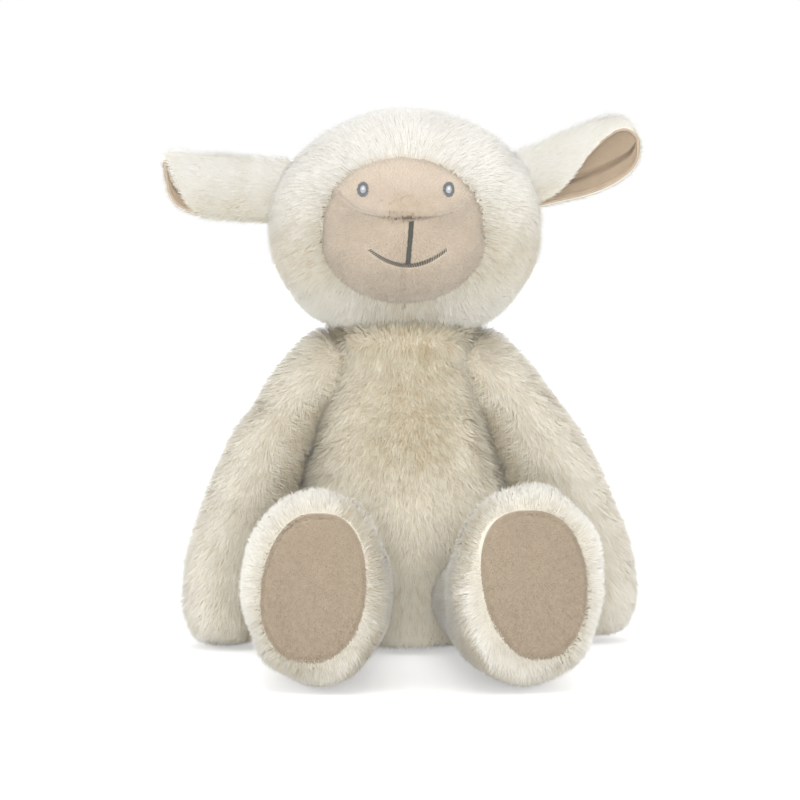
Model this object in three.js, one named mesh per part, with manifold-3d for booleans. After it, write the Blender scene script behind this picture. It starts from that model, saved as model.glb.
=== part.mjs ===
// Plush sheep, sitting, as an assembly of sewn covers, stuffing, embroidery and flexing seams.
// Millimetres, +Z up, the face towards -Y. The origin is the middle of the flat seat.
import * as THREE from 'three';
import { mergeVertices } from 'three/addons/utils/BufferGeometryUtils.js';
import Module from 'manifold-3d';

const wasm = await Module();
wasm.setup();

// Fits and cloth
const seamGap = 0.3; // between sewn pieces that touch
const threadRadius = 0.7; // the thick thread that a limb hangs on
const skinThickness = 4; // backing and pile of the plush
const panelThickness = 3; // velour of the face, soles and ear linings
const socketGap = 2 * (threadRadius + seamGap); // between a root ball and its dimple
const overrun = 60; // how far every cutting tool runs past its work
const stuffingHoleRadius = 8; // the hole that a cover is turned and stuffed through

// Body
const torsoHalfWidth = 55;
const torsoFrontDepth = 51;
const torsoBackDepth = 46.5;
const torsoHeight = 140;
const restDepth = 0.5; // how deep the round underside is cut flat
// height, half width, front depth and back depth of each ring
const torsoShares = [
  [0.0, 0.62, 0.59, 0.52],
  [0.05, 0.85, 0.79, 0.78],
  [0.14, 0.97, 0.885, 0.925],
  [0.26, 1.0, 0.95, 0.99],
  [0.42, 0.96, 1.0, 0.995],
  [0.58, 0.87, 0.975, 0.945],
  [0.73, 0.765, 0.89, 0.85],
  [0.88, 0.63, 0.755, 0.75],
  [0.965, 0.54, 0.62, 0.64],
];

// Neck, where the head turns and nods on the top of the body
const neckSink = 16; // from the top of the body down to the neck's pivot
const neckPivotHeight = torsoHeight - neckSink;
const neckBallRadius = 26;
const neckSeamRadius = 14;

// Head
const headHalfWidth = 63.5;
const headFrontDepth = 56;
const headBackDepth = 54;
const headLift = 74; // from the neck's pivot up to the head's widest ring
const headCentreHeight = neckPivotHeight + headLift;
const headUpperHalf = 52.5;
const headLowerHalf = 52;
const headUpperPowerShare = 2;
const headLowerPowerShare = 2.25;
const headLatitudes = 12;

// Face, a velour panel in three pieces let into the head's plush
const faceCentreX = -1;
const faceDrop = 10;
const faceCentreHeight = headCentreHeight - faceDrop;
const faceHalfWidth = 40.5;
const faceUpperHalf = 42;
const faceLowerHalf = 28;
const faceUpperTaperShare = 1.3;
const paddingGap = 1.8; // between the face's cloth and the stuffing behind it
const faceRecess = 4; // how far the panel's rim lies behind the pile
const muzzleDrop = 5;
const muzzleHeight = faceCentreHeight - muzzleDrop;
const muzzleHalfWidth = 39;
const muzzleHalfHeight = 26;
const muzzleBulge = 14;
const muzzleRoundShare = 0.75;
const noseSeamLift = 14;
const noseSeamHeight = faceCentreHeight + noseSeamLift;
const noseSeamRise = 7; // from the nose to the ends of the seam
const noseSeamSpread = 32;

// Embroidery
const stitchHeight = 0.9;
const stitchLift = 0.45;
const eyeSpacing = 38;
const eyeLift = 25;
const eyeHeight = faceCentreHeight + eyeLift;
const eyeHalfWidth = 2.6;
const eyeHalfHeight = 3.5;
const noseLineGap = 2.5; // between the nose seam and the line's top
const noseLineTop = noseSeamHeight - noseLineGap;
const noseLineLength = 19.5;
const noseLineBottom = noseLineTop - noseLineLength;
const noseLineHalfWidth = 1.3;
const mouthHalfWidth = 17.5;
const mouthRise = 8;
const mouthLineHalfWidth = 0.75;
const chinTackDrop = 28;
const chinTackHeight = muzzleHeight - chinTackDrop;
const chinTackRadius = 1.3;
const chinTackLength = 4;

// Ears
const earPivotX = 54;
const earPivotY = 2;
const earLift = 17;
const earPivotHeight = headCentreHeight + earLift;
const earBallRadius = 15.5;
const earSocketGap = 0.3;
const earLength = 62;
const earHalfHeight = 16.5;
const earHalfThickness = 7;
const earLeftRaise = THREE.MathUtils.degToRad(0);
const earRightRaise = THREE.MathUtils.degToRad(21);
const liningHalfHeight = 10;
const liningHalfThickness = 3;
const liningDrop = 4.5;
const liningForward = 5;
// distance along the ear and half size of each ring
const earShares = [
  [0.0, 0.65],
  [0.19, 0.65],
  [0.28, 0.8],
  [0.42, 0.95],
  [0.6, 1.0],
  [0.78, 0.9],
  [0.91, 0.66],
  [0.98, 0.33],
];

// Arms
const shoulderX = 34;
const shoulderSink = 10;
const shoulderHeight = torsoHeight - shoulderSink;
const shoulderBallRadius = 19;
const shoulderSeamOffset = 14;
const armDrop = 130; // from the shoulder to the paw's end
const armReach = 70; // from the shoulder out to the paw's side
const armHalfDepth = 22;
const armForward = 16;
const armClearance = 2.2;
const armLeftSwing = THREE.MathUtils.degToRad(0);
const armLeftSplay = THREE.MathUtils.degToRad(0);
const armRightSwing = THREE.MathUtils.degToRad(9);
const armRightSplay = THREE.MathUtils.degToRad(3);
// drop below the shoulder, inner side, outer side, half depth and forward shift of each ring
const armShares = [
  [0.975, 0.53, 0.86, 0.4, 1.0],
  [0.91, 0.425, 0.975, 0.82, 1.0],
  [0.8, 0.372, 0.963, 1.0, 0.95],
  [0.64, 0.328, 0.89, 1.0, 0.82],
  [0.44, 0.272, 0.76, 0.955, 0.58],
  [0.27, 0.185, 0.655, 0.9, 0.36],
  [0.15, 0.06, 0.56, 0.86, 0.2],
  [0.04, -0.16, 0.44, 0.82, 0.05],
  [-0.06, -0.2, 0.3, 0.72, 0.0],
  [-0.125, -0.1, 0.15, 0.4, 0.0],
];

// Legs
const hipX = 33;
const hipY = -40;
const hipHeight = 27;
const hipBallRadius = 23;
const hipSeamOffset = 10;
const legLength = 107.5; // from the hip to the sole
const footHalfWidth = 32.5;
const footHalfHeight = 43.3;
const footRise = 16.6; // the foot's middle above the hip
const legLeftSplay = THREE.MathUtils.degToRad(3.2);
const legRightSplay = THREE.MathUtils.degToRad(10);
const soleHalfWidth = 18;
const soleHalfHeight = 31;
const soleRise = 14;
const soleRecess = 1.6;
const soleCrown = 1.8;
// distance along the leg, middle's rise, half width and half height of each ring
const legShares = [
  [0.1, 0.0, 0.6, 0.45],
  [0.22, -0.02, 0.69, 0.52],
  [0.42, -0.05, 0.755, 0.57],
  [0.56, 0.06, 0.8, 0.635],
  [0.635, 0.38, 0.885, 0.76],
  [0.71, 0.72, 0.965, 0.885],
  [0.8, 1.0, 1.0, 1.0],
  [0.89, 1.0, 0.97, 0.97],
  [0.95, 0.97, 0.86, 0.86],
  [0.985, 0.94, 0.64, 0.66],
];

// Tail
const tailHeight = 34;
const tailY = 48;
const tailBallRadius = 7;
const tailLength = 27;
const tailHalfWidth = 10;
const tailLean = THREE.MathUtils.degToRad(28);
const tailSocketGap = 0.6;
const tailFullnessShare = 0.7; // under 1 brings the widest place towards the tip
const tailRoundShare = 0.8;
const tailFlatShare = 0.8;

// Bag of pellets in the seat
const bagHalfWidth = 32;
const bagHalfDepth = 19;
const bagHeight = 25;
const bagY = 3;

// Facets
const bodySides = 20;
const limbSides = 12;
const ballSides = 14;
const seatedBallSides = 20; // balls that carry the head and the ears
const hiddenBallSides = 8;
const ringSteps = 16;
const ringSides = 4;
const bagSteps = 6;
const tailSteps = 8;
const faceSides = 24;
const faceSteps = 4;
const eyeSides = 10;
const lineSteps = 8;

const FULL_TURN = 2 * Math.PI;
const UP = new THREE.Vector3(0, 0, 1);

// Colours as the cloth shows them
const cloth = (color, roughness) => () =>
  new THREE.MeshStandardMaterial({ color, roughness, metalness: 0 });
const cream = cloth(0xe9e3d3, 0.95);
const white = cloth(0xf1efe9, 0.95);
const beige = cloth(0xd9c3ae, 0.9);
const greyThread = cloth(0x74736c, 0.6);
const eyeThread = cloth(0x8b9096, 0.55);
const creamThread = cloth(0xd9d2bf, 0.7);
const filling = cloth(0xfafafa, 1);
const bagCloth = cloth(0xcfcabd, 0.9);

const group = new THREE.Group();

// A closed surface through rings that lie across Z. A ring is
// { along, midX, midY, halfX, front, back }, and a pole { along, midX, midY } closes each end.
function loft(rings, lowPole, highPole, sides, mirror = 1) {
  const positions = [];
  const push = (x, y, z) => positions.push(x * mirror, y, z);
  for (const ring of rings) {
    for (let side = 0; side < sides; side += 1) {
      const angle = (FULL_TURN * side) / sides;
      const depth = Math.sin(angle) < 0 ? ring.front : ring.back;
      push(ring.midX + ring.halfX * Math.cos(angle), ring.midY + depth * Math.sin(angle), ring.along);
    }
  }
  const low = rings.length * sides;
  push(lowPole.midX, lowPole.midY, lowPole.along);
  push(highPole.midX, highPole.midY, highPole.along);
  const index = [];
  const face = (a, b, c) => index.push(...(mirror > 0 ? [a, b, c] : [a, c, b]));
  for (let side = 0; side < sides; side += 1) {
    const next = (side + 1) % sides;
    face(low, next, side);
    for (let row = 0; row + 1 < rings.length; row += 1) {
      const here = row * sides;
      const above = here + sides;
      face(here + side, here + next, above + next);
      face(here + side, above + next, above + side);
    }
    const top = (rings.length - 1) * sides;
    face(top + side, top + next, low + 1);
  }
  const geometry = new THREE.BufferGeometry();
  geometry.setAttribute('position', new THREE.Float32BufferAttribute(positions, 3));
  geometry.setIndex(index);
  return geometry;
}

// A closed mesh as a solid that can be joined and cut
function solidOf(geometry) {
  const bare = geometry.clone();
  bare.deleteAttribute('normal');
  bare.deleteAttribute('uv');
  const merged = mergeVertices(bare);
  return new wasm.Manifold(
    new wasm.Mesh({
      numProp: 3,
      vertProperties: new Float32Array(merged.attributes.position.array),
      triVerts: new Uint32Array(merged.index.array),
    }),
  );
}

// A solid as a mesh, its corners measured from the place that the piece is put at
function geometryOf(solid, place) {
  const mesh = solid.getMesh();
  const geometry = new THREE.BufferGeometry();
  geometry.setAttribute('position', new THREE.Float32BufferAttribute(mesh.vertProperties, 3));
  geometry.setIndex(Array.from(mesh.triVerts));
  geometry.translate(-place.x, -place.y, -place.z);
  geometry.computeVertexNormals();
  return geometry;
}

function addPiece(name, solid, material, place = new THREE.Vector3()) {
  const mesh = new THREE.Mesh(geometryOf(solid, place), material());
  mesh.name = name;
  mesh.position.copy(place);
  group.add(mesh);
}

function ball(place, radius, sides = ballSides) {
  const geometry = new THREE.SphereGeometry(radius, sides, sides / 2);
  geometry.rotateX(Math.PI / 2);
  geometry.translate(place.x, place.y, place.z);
  return solidOf(geometry);
}

// A tool for a round dimple: its facets stay outside the radius, so a ball of that radius turns in it
function dimple(place, radius, sides = ballSides) {
  return ball(place, radius / Math.cos(Math.PI / sides) ** 2, sides);
}

// A round bar from one point to another, used for holes and the chin's stitch
function bar(from, to, radius) {
  const length = from.distanceTo(to);
  const geometry = new THREE.CylinderGeometry(radius, radius, length, eyeSides);
  const direction = to.clone().sub(from).normalize();
  geometry.applyQuaternion(new THREE.Quaternion().setFromUnitVectors(new THREE.Vector3(0, 1, 0), direction));
  const middle = from.clone().add(to).multiplyScalar(0.5);
  geometry.translate(middle.x, middle.y, middle.z);
  return solidOf(geometry);
}

// A loop of thread round a root ball, in the plane at the given offset from the pivot
function threadLoop(pivot, ballRadius, offset, direction) {
  const reach = ballRadius + seamGap + threadRadius;
  const loopRadius = Math.sqrt(reach * reach - offset * offset);
  const geometry = new THREE.TorusGeometry(loopRadius, threadRadius, ringSides, ringSteps);
  geometry.applyQuaternion(new THREE.Quaternion().setFromUnitVectors(UP, direction));
  const middle = pivot.clone().addScaledVector(direction, offset);
  geometry.translate(middle.x, middle.y, middle.z);
  return solidOf(geometry);
}

// Everything below a level
function below(level) {
  const geometry = new THREE.BoxGeometry(8 * overrun, 8 * overrun, overrun);
  geometry.translate(0, 0, level - overrun / 2);
  return solidOf(geometry);
}

// Body
const neckPivot = new THREE.Vector3(0, 0, neckPivotHeight);
const hipPivots = [-1, 1].map((side) => new THREE.Vector3(side * hipX, hipY, hipHeight));
const shoulderPivots = [-1, 1].map((side) => new THREE.Vector3(side * shoulderX, 0, shoulderHeight));
const tailPivot = new THREE.Vector3(0, tailY, tailHeight);

function pear(inset) {
  const rings = torsoShares.map(([height, width, front, back]) => ({
    along: -restDepth + inset + (torsoHeight + restDepth - 2 * inset) * height,
    midX: 0,
    midY: 0,
    halfX: torsoHalfWidth * width - inset,
    front: torsoFrontDepth * front - inset,
    back: torsoBackDepth * back - inset,
  }));
  const low = { along: rings[0].along, midX: 0, midY: 0 };
  const high = { along: torsoHeight - inset, midX: 0, midY: 0 };
  return solidOf(loft(rings, low, high, bodySides)).add(
    ball(neckPivot, neckBallRadius - inset, seatedBallSides),
  );
}

// The body's form less its dimples, each dimple's wall as thick as the inset asks
function bodyForm(inset) {
  const sides = inset > 0 ? hiddenBallSides : ballSides;
  let form = pear(inset);
  for (const pivot of hipPivots) {
    form = form.subtract(dimple(pivot, hipBallRadius + socketGap + inset, sides));
  }
  for (const pivot of shoulderPivots) {
    form = form.subtract(dimple(pivot, shoulderBallRadius + socketGap + inset, sides));
  }
  form = form.subtract(dimple(tailPivot, tailBallRadius + tailSocketGap + inset, sides));
  return form.subtract(below(inset));
}

const neckHole = bar(neckPivot, neckPivot.clone().addScaledVector(UP, overrun), stuffingHoleRadius);

// The bag sits on the cover under the stuffing, as a low dome with a flat foot. The stuffing's
// pocket for it is larger by a gap and runs down past the foot.
function bagForm(grow, reach) {
  const foot = skinThickness + seamGap;
  const lowAngle = -Math.PI / 6;
  const rings = [];
  for (let step = 0; step < bagSteps; step += 1) {
    const angle = lowAngle + ((Math.PI / 2 - lowAngle) * step) / bagSteps;
    const size = Math.cos(angle);
    const rise = (Math.sin(angle) - Math.sin(lowAngle)) / (1 - Math.sin(lowAngle));
    rings.push({
      along: foot + (bagHeight + grow) * rise,
      midX: 0,
      midY: bagY,
      halfX: (bagHalfWidth + grow) * size,
      front: (bagHalfDepth + grow) * size,
      back: (bagHalfDepth + grow) * size,
    });
  }
  if (reach > 0) {
    rings.unshift({ ...rings[0], along: foot - reach });
  }
  const low = { along: foot - reach, midX: 0, midY: bagY };
  const high = { along: foot + bagHeight + grow, midX: 0, midY: bagY };
  return solidOf(loft(rings, low, high, limbSides));
}

addPiece('body_skin', bodyForm(0).subtract(bodyForm(skinThickness)).subtract(neckHole), cream);
addPiece(
  'body_stuffing',
  bodyForm(skinThickness + seamGap).subtract(bagForm(seamGap, overrun)),
  filling,
);
addPiece('pellet_bag', bagForm(0, 0), bagCloth);

// Neck
const neckSeamOffset = Math.sqrt(
  (neckBallRadius + seamGap + threadRadius) ** 2 - neckSeamRadius ** 2,
);
addPiece('neck_seam', threadLoop(neckPivot, neckBallRadius, neckSeamOffset, UP), creamThread, neckPivot);

// Head
const headPlace = new THREE.Vector3(0, 0, headCentreHeight);

// The head's half size at a height, as a share of its widest
function headShareAt(height, inset) {
  const rise = height - headCentreHeight;
  const half = (rise > 0 ? headUpperHalf : headLowerHalf) - inset;
  const power = rise > 0 ? headUpperPowerShare : headLowerPowerShare;
  return Math.max(0, 1 - Math.abs(rise / half) ** power) ** (1 / power);
}

function headForm(inset) {
  const rings = [];
  for (let row = 1; row < headLatitudes; row += 1) {
    const angle = -Math.PI / 2 + (Math.PI * row) / headLatitudes;
    const half = (angle > 0 ? headUpperHalf : headLowerHalf) - inset;
    const power = angle > 0 ? headUpperPowerShare : headLowerPowerShare;
    const along = headCentreHeight + half * Math.sign(angle) * Math.abs(Math.sin(angle)) ** (2 / power);
    const share = headShareAt(along, inset);
    rings.push({
      along,
      midX: 0,
      midY: 0,
      halfX: (headHalfWidth - inset) * share,
      front: (headFrontDepth - inset) * share,
      back: (headBackDepth - inset) * share,
    });
  }
  const low = { along: headCentreHeight - headLowerHalf + inset, midX: 0, midY: 0 };
  const high = { along: headCentreHeight + headUpperHalf - inset, midX: 0, midY: 0 };
  return solidOf(loft(rings, low, high, bodySides));
}

const earPivots = [-1, 1].map((side) => new THREE.Vector3(side * earPivotX, earPivotY, earPivotHeight));

// The head's form less the dimples for the neck and the ears
function headBlank(inset) {
  const sides = inset > 0 ? hiddenBallSides : seatedBallSides;
  let form = headForm(inset).subtract(dimple(neckPivot, neckBallRadius + socketGap + inset, sides));
  for (const pivot of earPivots) {
    form = form.subtract(dimple(pivot, earBallRadius + earSocketGap + inset, sides));
  }
  return form;
}

// How far forward the face's cloth lies at a place, the muzzle's bulge included
function faceFront(x, z) {
  const share = headShareAt(z, 0);
  const across = Math.max(0, 1 - (x / (headHalfWidth * share)) ** 2);
  const plain = headFrontDepth * share * Math.sqrt(across) - faceRecess;
  const fromMuzzle = ((x - faceCentreX) / muzzleHalfWidth) ** 2 + ((z - muzzleHeight) / muzzleHalfHeight) ** 2;
  return plain + muzzleBulge * Math.max(0, 1 - fromMuzzle) ** muzzleRoundShare;
}

// The egg-shaped outline of the face, at an angle from its right side
function faceOutline(angle, grow) {
  const cos = Math.cos(angle);
  const sin = Math.sin(angle);
  const taper = sin > 0 ? faceUpperTaperShare : 1;
  return {
    x: faceCentreX + (faceHalfWidth + grow) * Math.sign(cos) * Math.abs(cos) ** taper,
    z: faceCentreHeight + ((sin > 0 ? faceUpperHalf : faceLowerHalf) + grow) * sin,
  };
}

// A closed plate over an outline round a middle: each step out from the middle has one loop of
// points, front(x, z) and rear(x, z) give how far forward its two sides lie.
function plate(middle, outline, sides, steps, front, rear) {
  const positions = [];
  const index = [];
  const ends = [front, rear];
  for (const side of ends) {
    positions.push(middle.x, -side(middle.x, middle.z), middle.z);
    for (let step = 1; step <= steps; step += 1) {
      for (let turn = 0; turn < sides; turn += 1) {
        const edge = outline((FULL_TURN * turn) / sides);
        const x = middle.x + ((edge.x - middle.x) * step) / steps;
        const z = middle.z + ((edge.z - middle.z) * step) / steps;
        positions.push(x, -side(x, z), z);
      }
    }
  }
  const half = 1 + steps * sides;
  const at = (start, step, turn) => start + 1 + (step - 1) * sides + (turn % sides);
  const face = (start, a, b, c) => index.push(...(start === 0 ? [a, b, c] : [a, c, b]));
  for (let turn = 0; turn < sides; turn += 1) {
    for (const start of [0, half]) {
      face(start, start, at(start, 1, turn), at(start, 1, turn + 1));
      for (let step = 1; step < steps; step += 1) {
        const here = at(start, step, turn);
        const next = at(start, step, turn + 1);
        const out = at(start, step + 1, turn);
        const outNext = at(start, step + 1, turn + 1);
        face(start, here, out, outNext);
        face(start, here, outNext, next);
      }
    }
    const rim = at(0, steps, turn);
    const rimNext = at(0, steps, turn + 1);
    const rimRear = at(half, steps, turn);
    const rimRearNext = at(half, steps, turn + 1);
    index.push(rim, rimRear, rimRearNext, rim, rimRearNext, rimNext);
  }
  const geometry = new THREE.BufferGeometry();
  geometry.setAttribute('position', new THREE.Float32BufferAttribute(positions, 3));
  geometry.setIndex(index);
  return solidOf(geometry);
}

const faceMiddle = { x: faceCentreX, z: faceCentreHeight };
const farFront = () => headFrontDepth + overrun;
const faceRear = (x, z) => faceFront(x, z) - panelThickness;
const faceHole = plate(faceMiddle, (angle) => faceOutline(angle, seamGap), faceSides, 1, farFront, () => 0);
const facePocket = plate(
  faceMiddle,
  (angle) => faceOutline(angle, skinThickness),
  faceSides,
  faceSteps,
  farFront,
  (x, z) => faceRear(x, z) - paddingGap,
);
const facePanel = plate(faceMiddle, (angle) => faceOutline(angle, 0), faceSides, faceSteps, faceFront, faceRear);

// Everything in front of the head inside a curve of (x, z) points
function frontTool(points) {
  const shape = new THREE.Shape(points.map(([x, z]) => new THREE.Vector2(x, z)));
  const geometry = new THREE.ExtrudeGeometry(shape, { depth: 2 * overrun + headFrontDepth, bevelEnabled: false });
  geometry.rotateX(Math.PI / 2);
  return solidOf(geometry);
}

// The forehead's lower edge dips to the nose, and the muzzle's upper edge runs a gap below it
function noseSeam(gap) {
  const points = [];
  for (let step = -lineSteps / 2; step <= lineSteps / 2; step += 1) {
    const share = (2 * step) / lineSteps;
    const x = faceCentreX + (noseSeamSpread + overrun) * share;
    const rise = noseSeamRise * Math.min(1, Math.abs(x - faceCentreX) / noseSeamSpread) ** 2;
    points.push([x, noseSeamHeight + rise + gap]);
  }
  return points;
}

const sideReach = noseSeamSpread + overrun;
const foreheadTool = frontTool([
  ...noseSeam(seamGap / 2),
  [faceCentreX + sideReach, faceCentreHeight + overrun],
  [faceCentreX - sideReach, faceCentreHeight + overrun],
]);
const muzzleTool = frontTool([
  [faceCentreX - sideReach, faceCentreHeight - overrun],
  [faceCentreX + sideReach, faceCentreHeight - overrun],
  ...noseSeam(-seamGap / 2).reverse(),
]);
const chinSeamTool = (side) =>
  frontTool([
    [(side * seamGap) / 2, faceCentreHeight - overrun],
    [side * sideReach, faceCentreHeight - overrun],
    [side * sideReach, faceCentreHeight + overrun],
    [(side * seamGap) / 2, faceCentreHeight + overrun],
  ]);

const headHole = bar(neckPivot, headPlace, stuffingHoleRadius);
addPiece(
  'head_skin',
  headBlank(0).subtract(headBlank(skinThickness)).subtract(faceHole).subtract(headHole),
  white,
  headPlace,
);
addPiece('head_stuffing', headBlank(skinThickness + seamGap).subtract(facePocket), filling, headPlace);
addPiece('face_forehead', facePanel.intersect(foreheadTool), beige, headPlace);
for (const [name, side] of [['face_muzzle_left', -1], ['face_muzzle_right', 1]]) {
  addPiece(name, facePanel.intersect(muzzleTool).intersect(chinSeamTool(side)), beige, headPlace);
}

// Embroidery lies on the face's cloth
const stitchRear = (x, z) => faceFront(x, z) + stitchLift;
const stitchFront = (x, z) => stitchRear(x, z) + stitchHeight;

for (const [name, side] of [['eye_left', -1], ['eye_right', 1]]) {
  const middle = { x: (side * eyeSpacing) / 2, z: eyeHeight };
  const outline = (angle) => ({
    x: middle.x + eyeHalfWidth * Math.cos(angle),
    z: middle.z + eyeHalfHeight * Math.sin(angle),
  });
  addPiece(name, plate(middle, outline, eyeSides, 1, stitchFront, stitchRear), eyeThread, headPlace);
}

// A raised line of stitches along (x, z) points on the face
function stitchLine(points, halfWidth) {
  const positions = [];
  const index = [];
  points.forEach(([x, z], place) => {
    const before = points[Math.max(0, place - 1)];
    const after = points[Math.min(points.length - 1, place + 1)];
    const run = new THREE.Vector2(after[0] - before[0], after[1] - before[1]).normalize();
    const low = [x + run.y * halfWidth, z - run.x * halfWidth];
    const high = [x - run.y * halfWidth, z + run.x * halfWidth];
    positions.push(low[0], -stitchRear(...low), low[1], high[0], -stitchRear(...high), high[1]);
    positions.push(high[0], -stitchFront(...high), high[1], low[0], -stitchFront(...low), low[1]);
  });
  const cornerCount = 4;
  const quad = (a, b, c, d) => index.push(a, b, c, a, c, d);
  for (let place = 0; place + 1 < points.length; place += 1) {
    for (let corner = 0; corner < cornerCount; corner += 1) {
      const next = (corner + 1) % cornerCount;
      const here = place * cornerCount;
      quad(here + corner, here + next, here + cornerCount + next, here + cornerCount + corner);
    }
  }
  const last = (points.length - 1) * cornerCount;
  quad(3, 2, 1, 0);
  quad(last, last + 1, last + 2, last + 3);
  const geometry = new THREE.BufferGeometry();
  geometry.setAttribute('position', new THREE.Float32BufferAttribute(positions, 3));
  geometry.setIndex(index);
  return solidOf(geometry);
}

function noseLinePoints() {
  const points = [];
  for (let step = 0; step <= lineSteps; step += 1) {
    const lowest = noseLineBottom + mouthLineHalfWidth + seamGap;
    points.push([0, noseLineTop + ((lowest - noseLineTop) * step) / lineSteps]);
  }
  return points;
}

function mouthPoints() {
  const points = [];
  for (let step = -lineSteps; step <= lineSteps; step += 1) {
    const share = step / lineSteps;
    points.push([-mouthHalfWidth * share, noseLineBottom - mouthLineHalfWidth + mouthRise * Math.abs(share) ** 1.6]);
  }
  return points;
}

addPiece('nose_line', stitchLine(noseLinePoints(), noseLineHalfWidth), greyThread, headPlace);
addPiece('mouth_line', stitchLine(mouthPoints(), mouthLineHalfWidth), greyThread, headPlace);

const chinY = -headFrontDepth * headShareAt(chinTackHeight, 0) - chinTackRadius - seamGap;
addPiece(
  'chin_tack',
  bar(
    new THREE.Vector3(-chinTackLength / 2, chinY, chinTackHeight),
    new THREE.Vector3(chinTackLength / 2, chinY, chinTackHeight),
    chinTackRadius,
  ),
  creamThread,
  headPlace,
);

// Ears: a leaf of plush on a root ball, with a pocket that the velour lining lies in
function earLeaf(length, halfHeight, halfThickness, from) {
  const rings = earShares.map(([along, size]) => ({
    along: from + (length - from) * along,
    midX: 0,
    midY: 0,
    halfX: halfHeight * size,
    front: halfThickness * size,
    back: halfThickness * size,
  }));
  const low = { along: from, midX: 0, midY: 0 };
  const high = { along: length, midX: 0, midY: 0 };
  const geometry = loft(rings, low, high, limbSides);
  geometry.rotateY(Math.PI / 2);
  return geometry;
}

function earSolid(geometry, side, raise, pivot) {
  const turned = geometry.clone();
  turned.rotateY(-raise);
  if (side < 0) {
    turned.rotateZ(Math.PI);
  }
  turned.translate(pivot.x, pivot.y, pivot.z);
  return solidOf(turned);
}

function addEar(name, side, raise, liningSide) {
  const pivot = earPivots[side < 0 ? 0 : 1];
  const lining = (grow) => {
    const geometry = earLeaf(
      earLength + grow,
      liningHalfHeight + grow,
      liningHalfThickness + grow,
      earBallRadius + 2 * panelThickness - grow,
    );
    geometry.translate(0, -side * liningSide * liningForward, -liningDrop);
    return earSolid(geometry, side, raise, pivot);
  };
  const leaf = earSolid(earLeaf(earLength, earHalfHeight, earHalfThickness, 0), side, raise, pivot);
  addPiece(`ear_${name}_plush`, leaf.add(ball(pivot, earBallRadius, seatedBallSides)).subtract(lining(seamGap)), white, pivot);
  addPiece(`ear_${name}_lining`, lining(0), beige, pivot);
}

addEar('left', -1, earLeftRaise, -1);
addEar('right', 1, earRightRaise, 1);

// Arms, each hung from a root ball in the body's side
function armForm(side, inset, swing, splay, pivot) {
  const rings = armShares.map(([drop, inner, outer, depth, forward]) => ({
    along: -armDrop * drop,
    midX: (armReach * (inner + outer)) / 2,
    midY: -armForward * forward,
    halfX: Math.max(seamGap, (armReach * (outer - inner)) / 2 - inset),
    front: Math.max(seamGap, armHalfDepth * depth - inset),
    back: Math.max(seamGap, armHalfDepth * depth - inset),
  }));
  const lowest = rings[0];
  const highest = rings[rings.length - 1];
  const kept = rings.filter(
    (ring) => ring.along > -armDrop + inset && ring.along < shoulderBallRadius - inset,
  );
  const low = { along: -armDrop + inset, midX: lowest.midX, midY: lowest.midY };
  const high = { along: shoulderBallRadius - inset, midX: highest.midX, midY: 0 };
  const geometry = loft(kept, low, high, limbSides, side);
  geometry.rotateY(-side * splay);
  geometry.rotateX(swing);
  geometry.translate(pivot.x, pivot.y, pivot.z);
  return solidOf(geometry);
}

function addArm(name, side, swing, splay) {
  const pivot = shoulderPivots[side < 0 ? 0 : 1];
  const form = (inset) =>
    armForm(side, inset, swing, splay, pivot)
      .subtract(pear(-armClearance - inset))
      .add(ball(pivot, shoulderBallRadius - inset, inset > 0 ? hiddenBallSides : ballSides));
  const inwards = new THREE.Vector3(-side, 0, 0);
  const hole = bar(pivot, pivot.clone().addScaledVector(inwards, overrun), stuffingHoleRadius);
  addPiece(`arm_${name}_skin`, form(0).subtract(form(skinThickness)).subtract(hole), cream, pivot);
  addPiece(`arm_${name}_stuffing`, form(skinThickness + seamGap), filling, pivot);
  addPiece(
    `shoulder_${name}_seam`,
    threadLoop(pivot, shoulderBallRadius, shoulderSeamOffset, inwards),
    creamThread,
    pivot,
  );
}

addArm('left', -1, armLeftSwing, armLeftSplay);
addArm('right', 1, armRightSwing, armRightSplay);

// Legs, each a thigh that grows into an upright foot with a velour sole
function legForm(side, inset, splay, pivot) {
  const rings = legShares.map(([along, rise, width, height]) => ({
    along: legLength * along,
    midX: 0,
    midY: footRise * rise,
    halfX: footHalfWidth * width - inset,
    front: footHalfHeight * height - inset,
    back: footHalfHeight * height - inset,
  }));
  const low = { along: 0, midX: 0, midY: 0 };
  const kept = rings.filter((ring) => ring.along < legLength - inset);
  const highest = kept[kept.length - 1];
  const high = { along: legLength - inset, midX: 0, midY: highest.midY };
  const geometry = loft(kept, low, high, limbSides);
  return placeLeg(geometry, side, splay, pivot);
}

function placeLeg(geometry, side, splay, pivot) {
  const placed = geometry.clone();
  placed.rotateX(Math.PI / 2);
  placed.rotateZ(side * splay);
  placed.translate(pivot.x, pivot.y, pivot.z);
  return solidOf(placed);
}

// A plate in the sole's oval, between two distances from the hip
function solePlate(side, grow, front, rear, splay, pivot) {
  const outline = (angle) => ({
    x: (soleHalfWidth + grow) * Math.cos(angle),
    z: soleRise + (soleHalfHeight + grow) * Math.sin(angle),
  });
  const solid = plate({ x: 0, z: soleRise }, outline, limbSides, 3, front, rear);
  return solid.rotate([0, 0, THREE.MathUtils.radToDeg(side * splay)]).translate([pivot.x, pivot.y, pivot.z]);
}

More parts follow.
